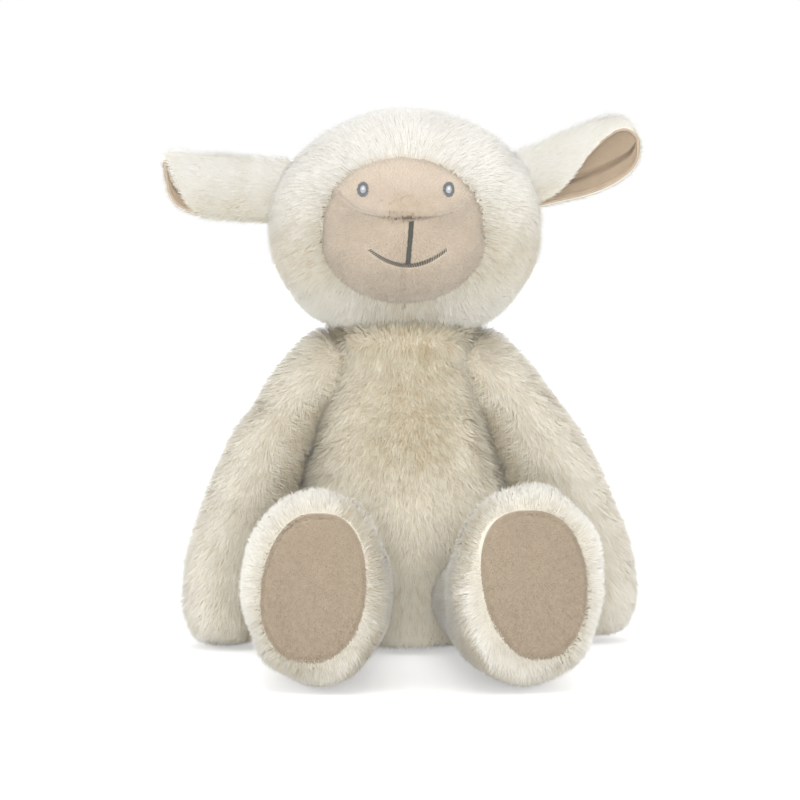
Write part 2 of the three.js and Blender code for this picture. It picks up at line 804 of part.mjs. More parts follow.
function addLeg(name, side, splay) {
  const pivot = hipPivots[side < 0 ? 0 : 1];
  const form = (inset) => legForm(side, inset, splay, pivot).add(
      ball(pivot, hipBallRadius - inset, inset > 0 ? hiddenBallSides : ballSides),
    );
  const crown = (x, z) =>
    soleCrown * Math.max(0, 1 - (x / soleHalfWidth) ** 2 - ((z - soleRise) / soleHalfHeight) ** 2);
  const soleFront = (x, z) => legLength - soleRecess - soleCrown + crown(x, z);
  const soleRear = () => legLength - soleRecess - soleCrown - panelThickness;
  const hole = solePlate(side, seamGap, () => legLength + overrun, () => soleRear() - panelThickness, splay, pivot);
  const pocket = solePlate(
    side,
    skinThickness,
    () => legLength + overrun,
    () => soleRear() - seamGap,
    splay,
    pivot,
  );
  const back = new THREE.Vector3(0, 1, 0);
  const stuffingHole = bar(pivot, pivot.clone().addScaledVector(back, overrun), stuffingHoleRadius);
  addPiece(
    `leg_${name}_skin`,
    form(0).subtract(form(skinThickness)).subtract(hole).subtract(stuffingHole).subtract(below(0)),
    cream,
    pivot,
  );
  addPiece(`leg_${name}_sole`, solePlate(side, 0, soleFront, soleRear, splay, pivot), beige, pivot);
  addPiece(`leg_${name}_stuffing`, form(skinThickness + seamGap).subtract(pocket), filling, pivot);
  addPiece(`hip_${name}_seam`, threadLoop(pivot, hipBallRadius, hipSeamOffset, back), creamThread, pivot);
}

addLeg('left', -1, legLeftSplay);
addLeg('right', 1, legRightSplay);

// Tail, a short drop that hangs behind the seat
function tailForm() {
  const rings = [];
  for (let step = 1; step < tailSteps; step += 1) {
    const share = step / tailSteps;
    const size = tailHalfWidth * Math.sin(Math.PI * share ** tailFullnessShare) ** tailRoundShare;
    rings.push({
      along: -tailLength * (1 - share),
      midX: 0,
      midY: 0,
      halfX: size,
      front: size * tailFlatShare,
      back: size * tailFlatShare,
    });
  }
  const geometry = loft(
    rings,
    { along: -tailLength, midX: 0, midY: 0 },
    { along: 0, midX: 0, midY: 0 },
    limbSides,
  );
  geometry.rotateX(tailLean);
  geometry.translate(tailPivot.x, tailPivot.y, tailPivot.z);
  return solidOf(geometry);
}

addPiece('tail', tailForm().add(ball(tailPivot, tailBallRadius)), cream, tailPivot);

export default group;
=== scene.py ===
"""Sitting plush sheep: covers with pile, velour face and soles, embroidery, stuffing and seams.

Lengths in this file are millimetres, +Z up and the face towards -Y, and become metres in put_mesh.
"""

import logging
import math
from dataclasses import dataclass, field, replace
from enum import Enum, IntEnum
from itertools import product

import bpy
import numpy as np
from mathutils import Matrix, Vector


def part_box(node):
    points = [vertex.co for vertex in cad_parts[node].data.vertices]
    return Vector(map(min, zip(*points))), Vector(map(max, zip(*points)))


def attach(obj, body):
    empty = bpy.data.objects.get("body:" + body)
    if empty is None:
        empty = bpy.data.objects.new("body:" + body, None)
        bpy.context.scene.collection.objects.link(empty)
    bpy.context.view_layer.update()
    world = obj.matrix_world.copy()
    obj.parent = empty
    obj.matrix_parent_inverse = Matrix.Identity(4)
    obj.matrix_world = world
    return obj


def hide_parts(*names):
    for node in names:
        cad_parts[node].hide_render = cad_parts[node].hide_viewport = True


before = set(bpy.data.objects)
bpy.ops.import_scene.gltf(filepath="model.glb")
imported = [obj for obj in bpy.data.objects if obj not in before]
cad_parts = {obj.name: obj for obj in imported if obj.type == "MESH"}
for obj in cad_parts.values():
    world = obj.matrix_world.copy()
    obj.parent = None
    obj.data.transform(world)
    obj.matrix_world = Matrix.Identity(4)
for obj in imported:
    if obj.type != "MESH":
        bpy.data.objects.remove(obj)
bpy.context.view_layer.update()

Array = np.ndarray
Colour = tuple[float, float, float]
Output = bpy.types.NodeSocket
LOG = logging.getLogger("sheep")

MM = 0.001
FULL_TURN = 2 * math.pi
NO_LENGTH = 1e-9  # keeps a division from failing
NO_SHARE = 1e-6  # the same, for the share of the head's largest ring
EVEN_STEPS = (0.7548777, 0.5698403)  # powers of one number, which spread points evenly
EVEN_CHANCE = 0.3  # how far a root strays from its even step, as a share of a cell
HASH_FACTORS = (73856093, 19349663, 83492791)
HASH_MIX = 1274126177
HASH_SEED_STEP = 2654435
HASH_SEED_START = 97
HASH_NUMBER_STEP = 7919
WAVE_SPREAD = (0.7, 1.5)  # shortest and longest wave, as shares of the named size
FLOOR_CLEARANCE = 0.35  # the lowest that a fibre reaches above the floor
FILLING_DEPTH = 2.2  # from the cover's cloth to the stuffing
LUMP_HEIGHT = 0.8
LUMP_SIZE = 17.0
TONE_LIMITS = (0.01, 0.98)
TONE_SPREAD = 0.02  # between the two long edges of a ribbon
UV_MARGIN = 0.02
CLOTH_SHEEN_ROUGHNESS = 0.5
CLOTH_SPECULAR = 0.25
WHITE = (1.0, 1.0, 1.0)
TUBE_ASIDE = (0.31, 0.52, 0.79)  # a heading that no tube takes, to turn its section from
STITCH_ASIDE = (0.13, -1.0, 0.21)
RING_ASIDE = (0.2, 0.3, 0.9)
DOWN = (0.0, 0.0, -1.0)
LEVEL = (1.0, 1.0, 0.0)
RING_STEPS = 240
RING_TURNS = 24
RING_SIDES = 8
STITCH_STEPS = 7
STITCH_ENDS = (1.02, 0.02)  # where a stitch's thickness falls to nothing, and its least share
NEARLY_NOTHING = 0.1  # the least half width of the body's oval
POLE_GAP = 0.03  # the angle left open round the head's two poles
EYE_MIDDLE_ROWS = 12
NOSE_STITCHES = 36
MOUTH_STITCHES = 46
BODY_GRID = (100, 110)  # rows and columns, here and in the lines below
BAG_GRID = (30, 64)
HEAD_GRID = (110, 140)
EAR_GRID = (90, 72)
ARM_GRID = (90, 60)
LEG_GRID = (100, 80)
SOLE_GRID = (46, 120)
TAIL_GRID = (50, 50)
RIM_PLACES = 181  # along the face's rim
SEAM_SEARCH = 2000  # places tried where the nose seam meets the rim
EAR_RIM_STRIDE = 3
EAR_EDGE_SIDES = 14
EAR_EDGE_AVERAGE = 5  # how many places of the ear's turned edge are averaged
UV_NAME = "OFBake"


class Side(Enum):
    """Which side of the sheep, as someone facing it sees it; the value is the sign of x."""

    LEFT = -1
    RIGHT = 1

    @property
    def word(self) -> str:
        """The side's name in piece and body names."""
        return self.name.lower()


class Seed(IntEnum):
    """The seed of each random choice; a side's sign is added where both sides differ."""

    FACE_SOFTNESS = 5
    SOLE_WAVE = 9
    BODY_ROOTS = 11
    BODY_PILE = 12
    BODY_FILLING = 13
    BODY_RISING = 14
    BODY_LUMPS = 15
    HEAD_ROOTS = 21
    HEAD_PILE = 22
    HEAD_FILLING = 23
    HEAD_INWARD = 24
    FACE_ROOTS = 31
    MUZZLE_RISING = 37
    FACE_PILE = 41
    EYES = 51
    LINES = 52
    EAR_ROOTS = 61
    EAR_PILE = 62
    EAR_LINING_PILE = 63
    ARM_ROOTS = 71
    ARM_PILE = 72
    ARM_FILLING = 73
    ARM_INWARD = 74
    ARM_LUMPS = 75
    LEG_ROOTS = 81
    LEG_PILE = 82
    LEG_FILLING = 83
    LEG_INWARD = 84
    LEG_LUMPS = 85
    SOLE_ROOTS = 91
    SOLE_PILE = 92
    TAIL_ROOTS = 101
    TAIL_PILE = 102


def unit(vectors: Array) -> Array:
    """Each vector divided by its length."""
    return vectors / np.maximum(np.linalg.norm(vectors, axis=-1, keepdims=True), NO_LENGTH)


def turned(points: Array, axis: str, angle: float) -> Array:
    """Points turned about a coordinate axis by the right-hand rule.

    Args:
        points: positions, last axis x, y, z.
        axis: "x", "y" or "z".
        angle: radians.

    Returns:
        The turned positions.
    """
    first, second = {"x": (1, 2), "y": (2, 0), "z": (0, 1)}[axis]
    out = points.copy()
    out[..., first] = points[..., first] * math.cos(angle) - points[..., second] * math.sin(angle)
    out[..., second] = points[..., first] * math.sin(angle) + points[..., second] * math.cos(angle)
    return out


def smooth(value: Array, start: float, end: float) -> Array:
    """The smooth step 3t^2 - 2t^3, where t goes from 0 at start to 1 at end."""
    share = np.clip((value - start) / (end - start), 0, 1)
    return share * share * (3 - 2 * share)


@dataclass(frozen=True)
class Step:
    """A smooth step from 0 at its start to 1 at its end."""

    start: float
    end: float

    def of(self, values: Array) -> Array:
        """The step at each value."""
        return smooth(values, self.start, self.end)


@dataclass(frozen=True)
class Hill:
    """A bell: e to the minus the distance from its middle over its width, to a power."""

    middle: float
    width: float
    power: float = 2.0

    def of(self, values: Array) -> Array:
        """The bell at each value."""
        return np.exp(-(np.abs((values - self.middle) / self.width) ** self.power))


def wander(points: Array, size: float, seed: int, waves: int = 6) -> Array:
    """A smooth random vector field: a sum of sine waves with random headings and phases.

    Args:
        points: (n, 3) places.
        size: about the length of a wave.
        seed: picks the waves.
        waves: how many are added.

    Returns:
        (n, 3) vectors whose parts are mostly between -1 and 1.
    """
    rng = np.random.default_rng(seed)
    out = np.zeros_like(points)
    for _ in range(waves):
        heading = unit(rng.normal(size=3)) * FULL_TURN / (size * rng.uniform(*WAVE_SPREAD))
        phase = rng.uniform(0, FULL_TURN)
        push = unit(rng.normal(size=3))
        out += np.sin(points @ heading + phase)[:, None] * push
    return out * math.sqrt(2 / waves)


def lattice_numbers(cells: Array, seed: int) -> Array:
    """Four numbers from 0 to 1 for each whole-number cell, by integer hashing.

    Args:
        cells: whole-number cells, one per row.
        seed: the random seed.

    Returns:
        Four numbers per cell.
    """
    with np.errstate(over="ignore"):
        whole = cells.astype(np.int64).astype(np.uint32)
        key = np.uint32(seed * HASH_SEED_STEP + HASH_SEED_START)
        for axis, factor in enumerate(HASH_FACTORS):
            key = key ^ whole[:, axis] * np.uint32(factor)
        numbers = []
        for step in range(4):
            key = key ^ (key >> np.uint32(13))
            key = key * np.uint32(HASH_MIX) + np.uint32(step * HASH_NUMBER_STEP + 1)
            numbers.append(((key >> np.uint32(8)) & np.uint32(0xFFFF)) / 65535.0)
    return np.stack(numbers, axis=1)


def nearest_tuft(points: Array, size: float, seed: int) -> tuple[Array, Array]:
    """The middle of the tuft that each point belongs to.

    Space is cut into cubes of edge size with one middle at a random place in each, and a point
    belongs to the nearest middle among its own cube and the 26 around it.

    Args:
        points: (n, 3) places.
        size: edge of the cubes.
        seed: picks the middles.

    Returns:
        (n, 3) vectors to the middles, and (n,) a number from 0 to 1 for each tuft.
    """
    cell = np.floor(points / size)
    best = np.full(len(points), np.inf)
    gaps = np.zeros_like(points)
    labels = np.zeros(len(points))
    for step in product((-1, 0, 1), repeat=3):
        near = cell + np.array(step)
        numbers = lattice_numbers(near, seed)
        gap = (near + numbers[:, :3]) * size - points
        distance = (gap * gap).sum(axis=1)
        closer = distance < best
        best = np.where(closer, distance, best)
        gaps = np.where(closer[:, None], gap, gaps)
        labels = np.where(closer, numbers[:, 3], labels)
    return gaps, labels


@dataclass
class Grid:
    """A surface as rows and columns of points, closed round its columns where wrap is set."""

    points: Array
    wrap: bool = True
    normals: Array = field(init=False)

    def __post_init__(self) -> None:
        """Works out the outward normals: the cross product of the differences along both ways."""
        rows = np.gradient(self.points, axis=0)
        if self.wrap:
            columns = np.roll(self.points, -1, axis=1) - np.roll(self.points, 1, axis=1)
        else:
            columns = np.gradient(self.points, axis=1)
        self.normals = unit(np.cross(columns, rows))

    def flipped(self) -> "Grid":
        """The same surface with its outer side turned in."""
        return Grid(self.points[:, ::-1], self.wrap)

    def moved(self, distance: float | Array) -> "Grid":
        """The surface moved along its normals by a distance, or by one for each point."""
        step = distance[..., None] if isinstance(distance, np.ndarray) else distance
        return Grid(self.points + self.normals * step, self.wrap)

    def lumpy(self, height: float, size: float, seed: int) -> "Grid":
        """The surface with soft lumps of a height and about a size, as stuffing gives."""
        lump = wander(self.points.reshape(-1, 3), size, seed)[:, 0].reshape(self.points.shape[:2])
        return self.moved(height * lump)

    def roots(self, density: float, rng: np.random.Generator) -> tuple[Array, Array]:
        """Places on the surface, evenly spread over its area.

        Cells are picked in order by their share of the whole area, and the place in a cell
        follows a sequence of even steps with a little chance, so that no gaps or heaps form.

        Args:
            density: places per square millimetre.
            rng: random source.

        Returns:
            (n, 3) places and (n, 3) outward normals there.
        """
        here, there = self.points, self.normals
        if self.wrap:
            here = np.concatenate([here, here[:, :1]], axis=1)
            there = np.concatenate([there, there[:, :1]], axis=1)
        across = here[1:, 1:] - here[:-1, :-1]
        other = here[1:, :-1] - here[:-1, 1:]
        area = np.linalg.norm(np.cross(across, other), axis=-1).ravel() / 2
        total = np.cumsum(area)
        count = int(total[-1] * density)
        number = np.arange(count)
        cell = np.searchsorted(total, (number + rng.random(count)) / count * total[-1])
        row, column = np.divmod(np.minimum(cell, len(area) - 1), here.shape[1] - 1)
        steps = number[:, None] * np.array(EVEN_STEPS) + EVEN_CHANCE * rng.random((count, 2))
        down, along = (steps % 1.0).T[..., None]

        def mixed(values: Array) -> Array:
            """Values at the places, mixed from the four corners of each one's cell.

            Args:
                values: numbers at each cell's corners.

            Returns:
                The mixed values.
            """
            low = values[row, column] * (1 - along) + values[row, column + 1] * along
            high = values[row + 1, column] * (1 - along) + values[row + 1, column + 1] * along
            return low * (1 - down) + high * down

        return mixed(here), unit(mixed(there))


def put_mesh(name: str, points: Array, faces: Array | list, smooth_shade: bool = True) -> bpy.types.Object:
    """A mesh object at the origin.

    Args:
        name: the piece's name.
        points: (n, 3) corners in millimetres.
        faces: (m, k) corner numbers, or a list of such arrays with different k.
        smooth_shade: whether the faces are shaded smooth.

    Returns:
        The new object, in metres.
    """
    groups = faces if isinstance(faces, list) else [faces]
    totals = np.concatenate([np.full(len(group), group.shape[1]) for group in groups])
    corners = np.concatenate([group.ravel() for group in groups]).astype(np.int32)
    mesh = bpy.data.meshes.new(name)
    mesh.vertices.add(len(points))
    mesh.vertices.foreach_set("co", (points * MM).astype(np.float32).ravel())
    mesh.loops.add(len(corners))
    mesh.loops.foreach_set("vertex_index", corners)
    mesh.polygons.add(len(totals))
    starts = np.concatenate([[0], np.cumsum(totals)[:-1]]).astype(np.int32)
    mesh.polygons.foreach_set("loop_start", starts)
    mesh.polygons.foreach_set("loop_total", totals.astype(np.int32))
    mesh.polygons.foreach_set("use_smooth", np.full(len(totals), smooth_shade))
    mesh.update(calc_edges=True)
    obj = bpy.data.objects.new(name, mesh)
    bpy.context.scene.collection.objects.link(obj)
    return obj


def grid_faces(rows: int, columns: int, wrap: bool) -> Array:
    """Four-cornered faces of a grid, turned so that their fronts are its outer side.

    Args:
        rows: number of rows.
        columns: number of columns.
        wrap: whether the last column joins the first.

    Returns:
        Numbers of the four corners of each face.
    """
    row, column = np.meshgrid(np.arange(rows - 1), np.arange(columns if wrap else columns - 1), indexing="ij")
    after = (column + 1) % columns
    here, above = row * columns, (row + 1) * columns
    quads = [here + column, here + after, above + after, above + column]
    return np.stack([quad.ravel() for quad in quads], axis=1)


def closed_tube(name: str, grid: Grid) -> bpy.types.Object:
    """A closed piece from a wrapped grid, whose first and last rows close on a middle point.

    Args:
        name: the piece's name.
        grid: the surface.

    Returns:
        The piece.
    """
    rows, columns = grid.points.shape[:2]
    ends = grid.points[[0, -1]].mean(axis=1)
    points = np.concatenate([grid.points.reshape(-1, 3), ends])
    column = np.arange(columns)
    after = (column + 1) % columns
    low = np.stack([np.full(columns, rows * columns), after, column], axis=1)
    top = (rows - 1) * columns
    high = np.stack([np.full(columns, rows * columns + 1), top + column, top + after], axis=1)
    return put_mesh(name, points, [grid_faces(rows, columns, True), low, high])


def closed_sheet(name: str, outer: Grid, inner: Array) -> bpy.types.Object:
    """A closed piece between an unwrapped grid and the points behind it, joined round the rim.

    Args:
        name: the piece's name.
        outer: the front surface.
        inner: the points behind it, in the same order.

    Returns:
        The piece.
    """
    rows, columns = outer.points.shape[:2]
    front = grid_faces(rows, columns, False)
    back = front[:, ::-1] + rows * columns
    number = np.arange(rows * columns).reshape(rows, columns)
    rim = np.concatenate([number[0, :-1], number[:-1, -1], number[-1, :0:-1], number[:0:-1, 0]])
    after = np.roll(rim, -1)
    behind = rows * columns
    side = np.stack([after, rim, rim + behind, after + behind], axis=1)
    points = np.concatenate([outer.points.reshape(-1, 3), inner.reshape(-1, 3)])
    return put_mesh(name, points, [np.concatenate([front, back, side])])


def set_uv(obj: bpy.types.Object, uv: Array) -> None:
    """Gives the mesh its own UV map, one pair for each face corner."""
    layer = obj.data.uv_layers.new(name=UV_NAME)
    layer.data.foreach_set("uv", uv.astype(np.float32).ravel())


def spline_rows(rows: Array, count: int) -> Array:
    """Rows of numbers joined by a smooth curve and read off at even steps.

    Between two rows each column is the cubic whose slope at a row is the difference of its
    neighbours over the way between them, with the way measured along the rows.

    Args:
        rows: (n, k) numbers; the first and last only give slopes.
        count: how many rows to read.

    Returns:
        (count, k) numbers from the second row to the last but one.
    """
    way = np.concatenate([[0], np.cumsum(np.linalg.norm(np.diff(rows, axis=0), axis=1))])
    slopes = (rows[2:] - rows[:-2]) / (way[2:] - way[:-2])[:, None]
    knots, values = way[1:-1], rows[1:-1]
    at = np.linspace(knots[0], knots[-1], count)
    piece = np.clip(np.searchsorted(knots, at, side="right") - 1, 0, len(knots) - 2)
    span = (knots[piece + 1] - knots[piece])[:, None]
    t = (at[:, None] - knots[piece][:, None]) / span
    h00 = 2 * t**3 - 3 * t**2 + 1
    h10 = t**3 - 2 * t**2 + t
    return (
        h00 * values[piece]
        + h10 * span * slopes[piece]
        + (1 - h00) * values[piece + 1]
        + (t**3 - t**2) * span * slopes[piece + 1]
    )


def loft(rings: Array, low: float, high: float, rows: int, columns: int) -> Array:
    """A smooth surface through oval rings across z.

    A ring is along, middle x, middle y, half x, front depth and back depth. A point of it is the
    middle plus half x times the cosine and the depth times the sine of its angle. Past each end
    a mirrored ring rounds the surface over.

    Args:
        rings: (n, 6) rings from low to high.
        low: height of the low end.
        high: height of the high end.
        rows: rows of the grid.
        columns: columns of the grid.

    Returns:
        (rows, columns, 3) points.
    """
    flip = np.array([1, 1, 1, -1, -1, -1])
    bare = np.array([1, 1, 1, 0, 0, 0])
    first, last = rings[0] * bare, rings[-1] * bare
    first[0], last[0] = low, high
    table = np.vstack([rings[0] * flip, first, rings, last, rings[-1] * flip])
    read = spline_rows(table, rows + 2)[1:-1]
    along, mid_x, mid_y, half, front, back = (read[:, [k]] for k in range(6))
    angle = np.linspace(0, FULL_TURN, columns, endpoint=False)[None, :]
    depth = np.where(np.sin(angle) < 0, front, back)
    x = mid_x + half * np.cos(angle)
    y = mid_y + depth * np.sin(angle)
    return np.stack([x, y, np.broadcast_to(along, x.shape)], axis=-1)


@dataclass(frozen=True)
class Socket:
    """A round dimple that a limb's root turns in."""

    middle: tuple[float, float, float]
    radius: float

    def press(self, grid: Grid) -> Grid:
        """Pushes the part of a surface inside the ball back along its normals to the ball's far side.

        Args:
            grid: the surface.

        Returns:
            The pressed surface.
        """
        away = grid.points - np.array(self.middle)
        along = (away * grid.normals).sum(axis=-1)
        room = along**2 - (away**2).sum(axis=-1) + self.radius**2
        depth = along + np.sqrt(np.maximum(room, 0))
        inside = (away**2).sum(axis=-1) < self.radius**2
        return Grid(grid.points - grid.normals * np.where(inside, depth, 0)[..., None], grid.wrap)

    def grown(self, margin: float) -> "Socket":
        """The same dimple with a larger ball."""
        return Socket(self.middle, self.radius + margin)

    def holds(self, points: Array, margin: float) -> Array:
        """Which points are inside the ball grown by a margin."""
        return np.linalg.norm(points - np.array(self.middle), axis=1) < self.radius + margin


@dataclass(frozen=True)
class Pile:
    """How a cloth's pile grows: its length, lean and the way it gathers into tufts."""

    length: float = 9.0
    length_spread: float = 0.16
    width: float = 0.36
    density: float = 2.0
    lean_root: float = math.radians(22)
    lean_tip: float = math.radians(62)
    stray: float = 0.16
    swirl: float = 0.25
    swirl_size: float = 22.0
    tuft: float = 6.0
    gather: float = 0.45
    fine_tuft: float = 1.9
    fine_gather: float = 0.22
    tuft_lift: float = 0.18
    joints: int = 2
    edge_share: float = 0.18  # how much a fibre's own facing shades it, beside the cloth's
    tip_share: float = 0.15
    own_tone: float = 0.2
    fine_tone: float = 0.2
    tuft_tone: float = 0.3
    tone_share: float = 0.75
    length_by_tuft: float = 0.16
    lean_spread: float = 0.12
    gather_power: float = 1.6
    twist: float = 0.5  # how far a ribbon turns about its own length, in radians
    narrowest: float = 0.8
    width_spread: float = 0.4
    taper: float = 0.5


PLUSH_HEAD = Pile(
    length=6.6,
    length_spread=0.08,
    width=0.27,
    density=3.5,
    lean_root=math.radians(26),
    lean_tip=math.radians(66),
    swirl=0.22,
    own_tone=0.3,
    fine_tone=0.8,
    tuft=3.6,
    gather=0.05,
    fine_tuft=1.3,
    fine_gather=0.1,
    tuft_lift=0.04,
    tone_share=0.32,
)
PLUSH_BODY = Pile(
    length=7.0,
    length_spread=0.12,
    width=0.28,
    density=3.2,
    lean_root=math.radians(24),
    lean_tip=math.radians(62),
    stray=0.22,
    swirl=0.26,
    swirl_size=20.0,
    tuft=5.0,
    gather=0.09,
    fine_tuft=1.7,
    fine_gather=0.17,
    tuft_lift=0.12,
    tone_share=0.4,
)
PLUSH_TORSO = replace(
    PLUSH_BODY,
    swirl=0.27,
    swirl_size=17.0,
    stray=0.3,
    gather=0.14,
    fine_tuft=2.0,
    fine_gather=0.24,
    tuft_lift=0.22,
    own_tone=0.3,
    fine_tone=0.9,
    tone_share=0.5,
)
PLUSH_ARM = replace(PLUSH_BODY, swirl=0.14, gather=0.1, fine_gather=0.2, own_tone=0.3, fine_tone=0.8)
PLUSH_FOOT = Pile(
    length=5.0,
    length_spread=0.1,
    width=0.29,
    density=3.7,
    lean_root=math.radians(30),
    lean_tip=math.radians(72),
    stray=0.2,
    swirl=0.25,
    tuft=4.0,
    gather=0.06,
    fine_tuft=1.7,
    fine_gather=0.14,
    tuft_lift=0.12,
    tone_share=0.6,
)
PLUSH_EAR = Pile(
    length=4.8,
    length_spread=0.08,
    width=0.22,
    density=4.6,
    lean_root=math.radians(30),
    lean_tip=math.radians(70),
    gather=0.05,
    fine_tuft=1.3,
    fine_gather=0.1,
    tuft=3.6,
    tuft_lift=0.04,
)
VELOUR = Pile(
    length=1.3,
    width=0.2,
    density=5.4,
    lean_root=math.radians(14),
    lean_tip=math.radians(46),
    stray=0.25,
    swirl=0.3,
    swirl_size=16.0,
    tuft=3.0,
    gather=0.0,
    fine_tuft=0.9,
    fine_gather=0.08,
    tuft_lift=0.03,
)
SOLE_NAP = replace(
    VELOUR,
    length=1.6,
    width=0.26,
    stray=0.28,
    swirl=0.3,
    swirl_size=8.0,
    tuft=2.2,
    gather=0.12,
    fine_tuft=1.0,
    tuft_lift=0.12,
    own_tone=0.1,
    fine_tone=0.6,
)


@dataclass
class Fleece:
    """Roots of a cloth's pile and the way that each lies."""

    roots: Array
    normals: Array
    comb: Array
    length_share: Array
    lean_share: Array | None = None
    # each fibre's tone, where a piece paints light and shade into its pile
    light: Array | None = None

    def kept(self, keep: Array) -> "Fleece":
        """The roots that a mask or a list of numbers keeps.

        Args:
            keep: a mask over the roots, or their numbers in order.

        Returns:
            A fleece with those roots.
        """
        lean = None if self.lean_share is None else self.lean_share[keep]
        light = None if self.light is None else self.light[keep]
        chosen = (part[keep] for part in (self.roots, self.normals, self.comb, self.length_share))
        return Fleece(*chosen, lean, light)

    def combed(self, pile: Pile, seed: int, rng: np.random.Generator) -> Array:
        """The way that each fibre lies: the comb with a swirl and a stray part, along the cloth.

        Args:
            pile: the kind of pile.
            seed: the random seed.
            rng: the source of chance.

        Returns:
            One direction per fibre, of length 1.
        """
        comb = unit(self.comb) + wander(self.roots, pile.swirl_size, seed) * pile.swirl
        comb += rng.normal(size=comb.shape) * pile.stray
        return unit(self.along_cloth(comb))

    def along_cloth(self, vectors: Array) -> Array:
        """The part of each vector that lies along the cloth."""
        return vectors - self.normals * (vectors * self.normals).sum(axis=1, keepdims=True)

    def middles(
        self, pile: Pile, comb: Array, label: Array, pull: Array, rng: np.random.Generator
    ) -> list[Array]:
        """The middle line of each ribbon.

        A ribbon's node k is the root plus the normal times the sum of the cosines, and the comb
        direction times the sum of the sines, of a lean that grows from root to tip. Nodes are
        then drawn towards the middle of their tuft by a power of their share of the length.

        Args:
            pile: how the pile grows.
            comb: (n, 3) the way that each fibre lies.
            label: (n,) the number of each fibre's tuft.
            pull: (n, 3) how far a tip is drawn along the cloth.
            rng: random source.

        Returns:
            The nodes from root to tip, each (n, 3).
        """
        count = len(self.roots)
        length = pile.length * (1 + pile.length_spread * rng.normal(size=count).clip(-2, 1.6))
        length *= (1 + pile.length_by_tuft * (label - 0.5)) * self.length_share
        ease = pile.tuft_lift * (label - 0.5) + pile.lean_spread * rng.normal(size=count)
        nodes = [self.roots]
        for step in range(pile.joints):
            share = (step + 0.5) / pile.joints
            lean = pile.lean_root + (pile.lean_tip - pile.lean_root) * share + ease
            if self.lean_share is not None:
                lean = lean * self.lean_share
            part = length / pile.joints
            up = self.normals * (np.cos(lean) * part)[:, None]
            nodes.append(nodes[-1] + up + comb * (np.sin(lean) * part)[:, None])
        for step in range(1, pile.joints + 1):
            nodes[step] = nodes[step] + pull * (step / pile.joints) ** pile.gather_power
        return nodes

    def corners(self, pile: Pile, nodes: list[Array], across: Array, rng: np.random.Generator) -> Array:
        """The corners of each ribbon: pairs beside its nodes, which come closer, and its tip.

        Args:
            pile: the kind of pile.
            nodes: points along each fibre.
            across: directions across the ribbons.
            rng: the source of chance.

        Returns:
            Points of the ribbons.
        """
        half = pile.width / 2 * (pile.narrowest + pile.width_spread * rng.random(len(self.roots)))
        rows = []
        for step in range(pile.joints):
            narrowed = 1 - pile.taper * (step / pile.joints) ** 2
            edge = across * (half * narrowed)[:, None]
            rows += [nodes[step] - edge, nodes[step] + edge]
        rows.append(nodes[-1])
        points = np.stack(rows, axis=1)
        points[..., 2] = np.maximum(points[..., 2], FLOOR_CLEARANCE)
        return points

    def grow(self, name: str, pile: Pile, seed: int) -> bpy.types.Object:
        """Grows a tapering ribbon from each root.

        Args:
            name: the piece's name.
            pile: how the pile grows.
            seed: random seed.

        Returns:
            The piece, with U the ribbon's tone and V the place along it.
        """
        rng = np.random.default_rng(seed)
        count = len(self.roots)
        comb = self.combed(pile, seed, rng)
        gap, label = nearest_tuft(self.roots, pile.tuft, seed)
        fine_gap, fine_label = nearest_tuft(self.roots, pile.fine_tuft, seed + 1)
        pull = self.along_cloth(gap) * pile.gather + self.along_cloth(fine_gap) * pile.fine_gather
        nodes = self.middles(pile, comb, label, pull, rng)
        turn = rng.uniform(-pile.twist, pile.twist, size=count)
        across = np.cross(comb, self.normals)
        across = unit(across * np.cos(turn)[:, None] + self.normals * np.sin(turn)[:, None])
        points = self.corners(pile, nodes, across, rng)
        tone = 0.5 + pile.own_tone * rng.normal(size=count)
        tone = tone + pile.tuft_tone * (label - 0.5) + pile.fine_tone * (fine_label - 0.5)
        # painted light and shade: a piece's tones by place take the place of the middle of the random tone
        if self.light is not None:
            tone = self.light + pile.tone_share * (tone - 0.5)
        obj = ribbons(name, points, np.clip(tone, *TONE_LIMITS), pile.joints)
        ahead = unit(nodes[-1] - nodes[0])
        facing = np.cross(across, ahead)
        cloth_share = 1 - pile.edge_share
        soft = unit(self.normals * cloth_share + facing * pile.edge_share + ahead * pile.tip_share)
        spread = np.repeat(soft, points.shape[1], axis=0).astype(np.float32)
        obj.data.normals_split_custom_set_from_vertices(spread)
        return obj


def ribbons(name: str, points: Array, tone: Array, joints: int) -> bpy.types.Object:
    """A mesh of ribbons, each of joints - 1 four-cornered faces and a three-cornered tip.

    Args:
        name: the piece's name.
        points: (n, 2 * joints + 1, 3) corners, in pairs from the root up and then the tip.
        tone: (n,) tone of each ribbon.
        joints: steps from root to tip.

    Returns:
        The piece.
    """
    count, corners = points.shape[:2]
    base = (np.arange(count) * corners)[:, None]
    pattern: list[int] = []
    for step in range(joints - 1):
        low = 2 * step
        pattern += [low, low + 1, low + 3, low + 2]
    quads = (base + np.array(pattern)).reshape(-1, 4)
    last = 2 * joints - 2
    tips = base + np.array([last, last + 1, last + 2])
    obj = put_mesh(name, points.reshape(-1, 3), [quads, tips])
    u = tone[:, None] + np.array([-TONE_SPREAD, TONE_SPREAD] * joints + [0.0])[None, :]
    v = np.repeat(np.arange(joints) / joints, 2)
    v = np.broadcast_to(np.concatenate([v, [1.0]])[None, :], u.shape)
    pairs = np.stack([u, UV_MARGIN + (1 - 2 * UV_MARGIN) * v], axis=-1).reshape(-1, 2)
    order = np.concatenate([quads.ravel(), tips.ravel()])
    set_uv(obj, pairs[order])
    return obj


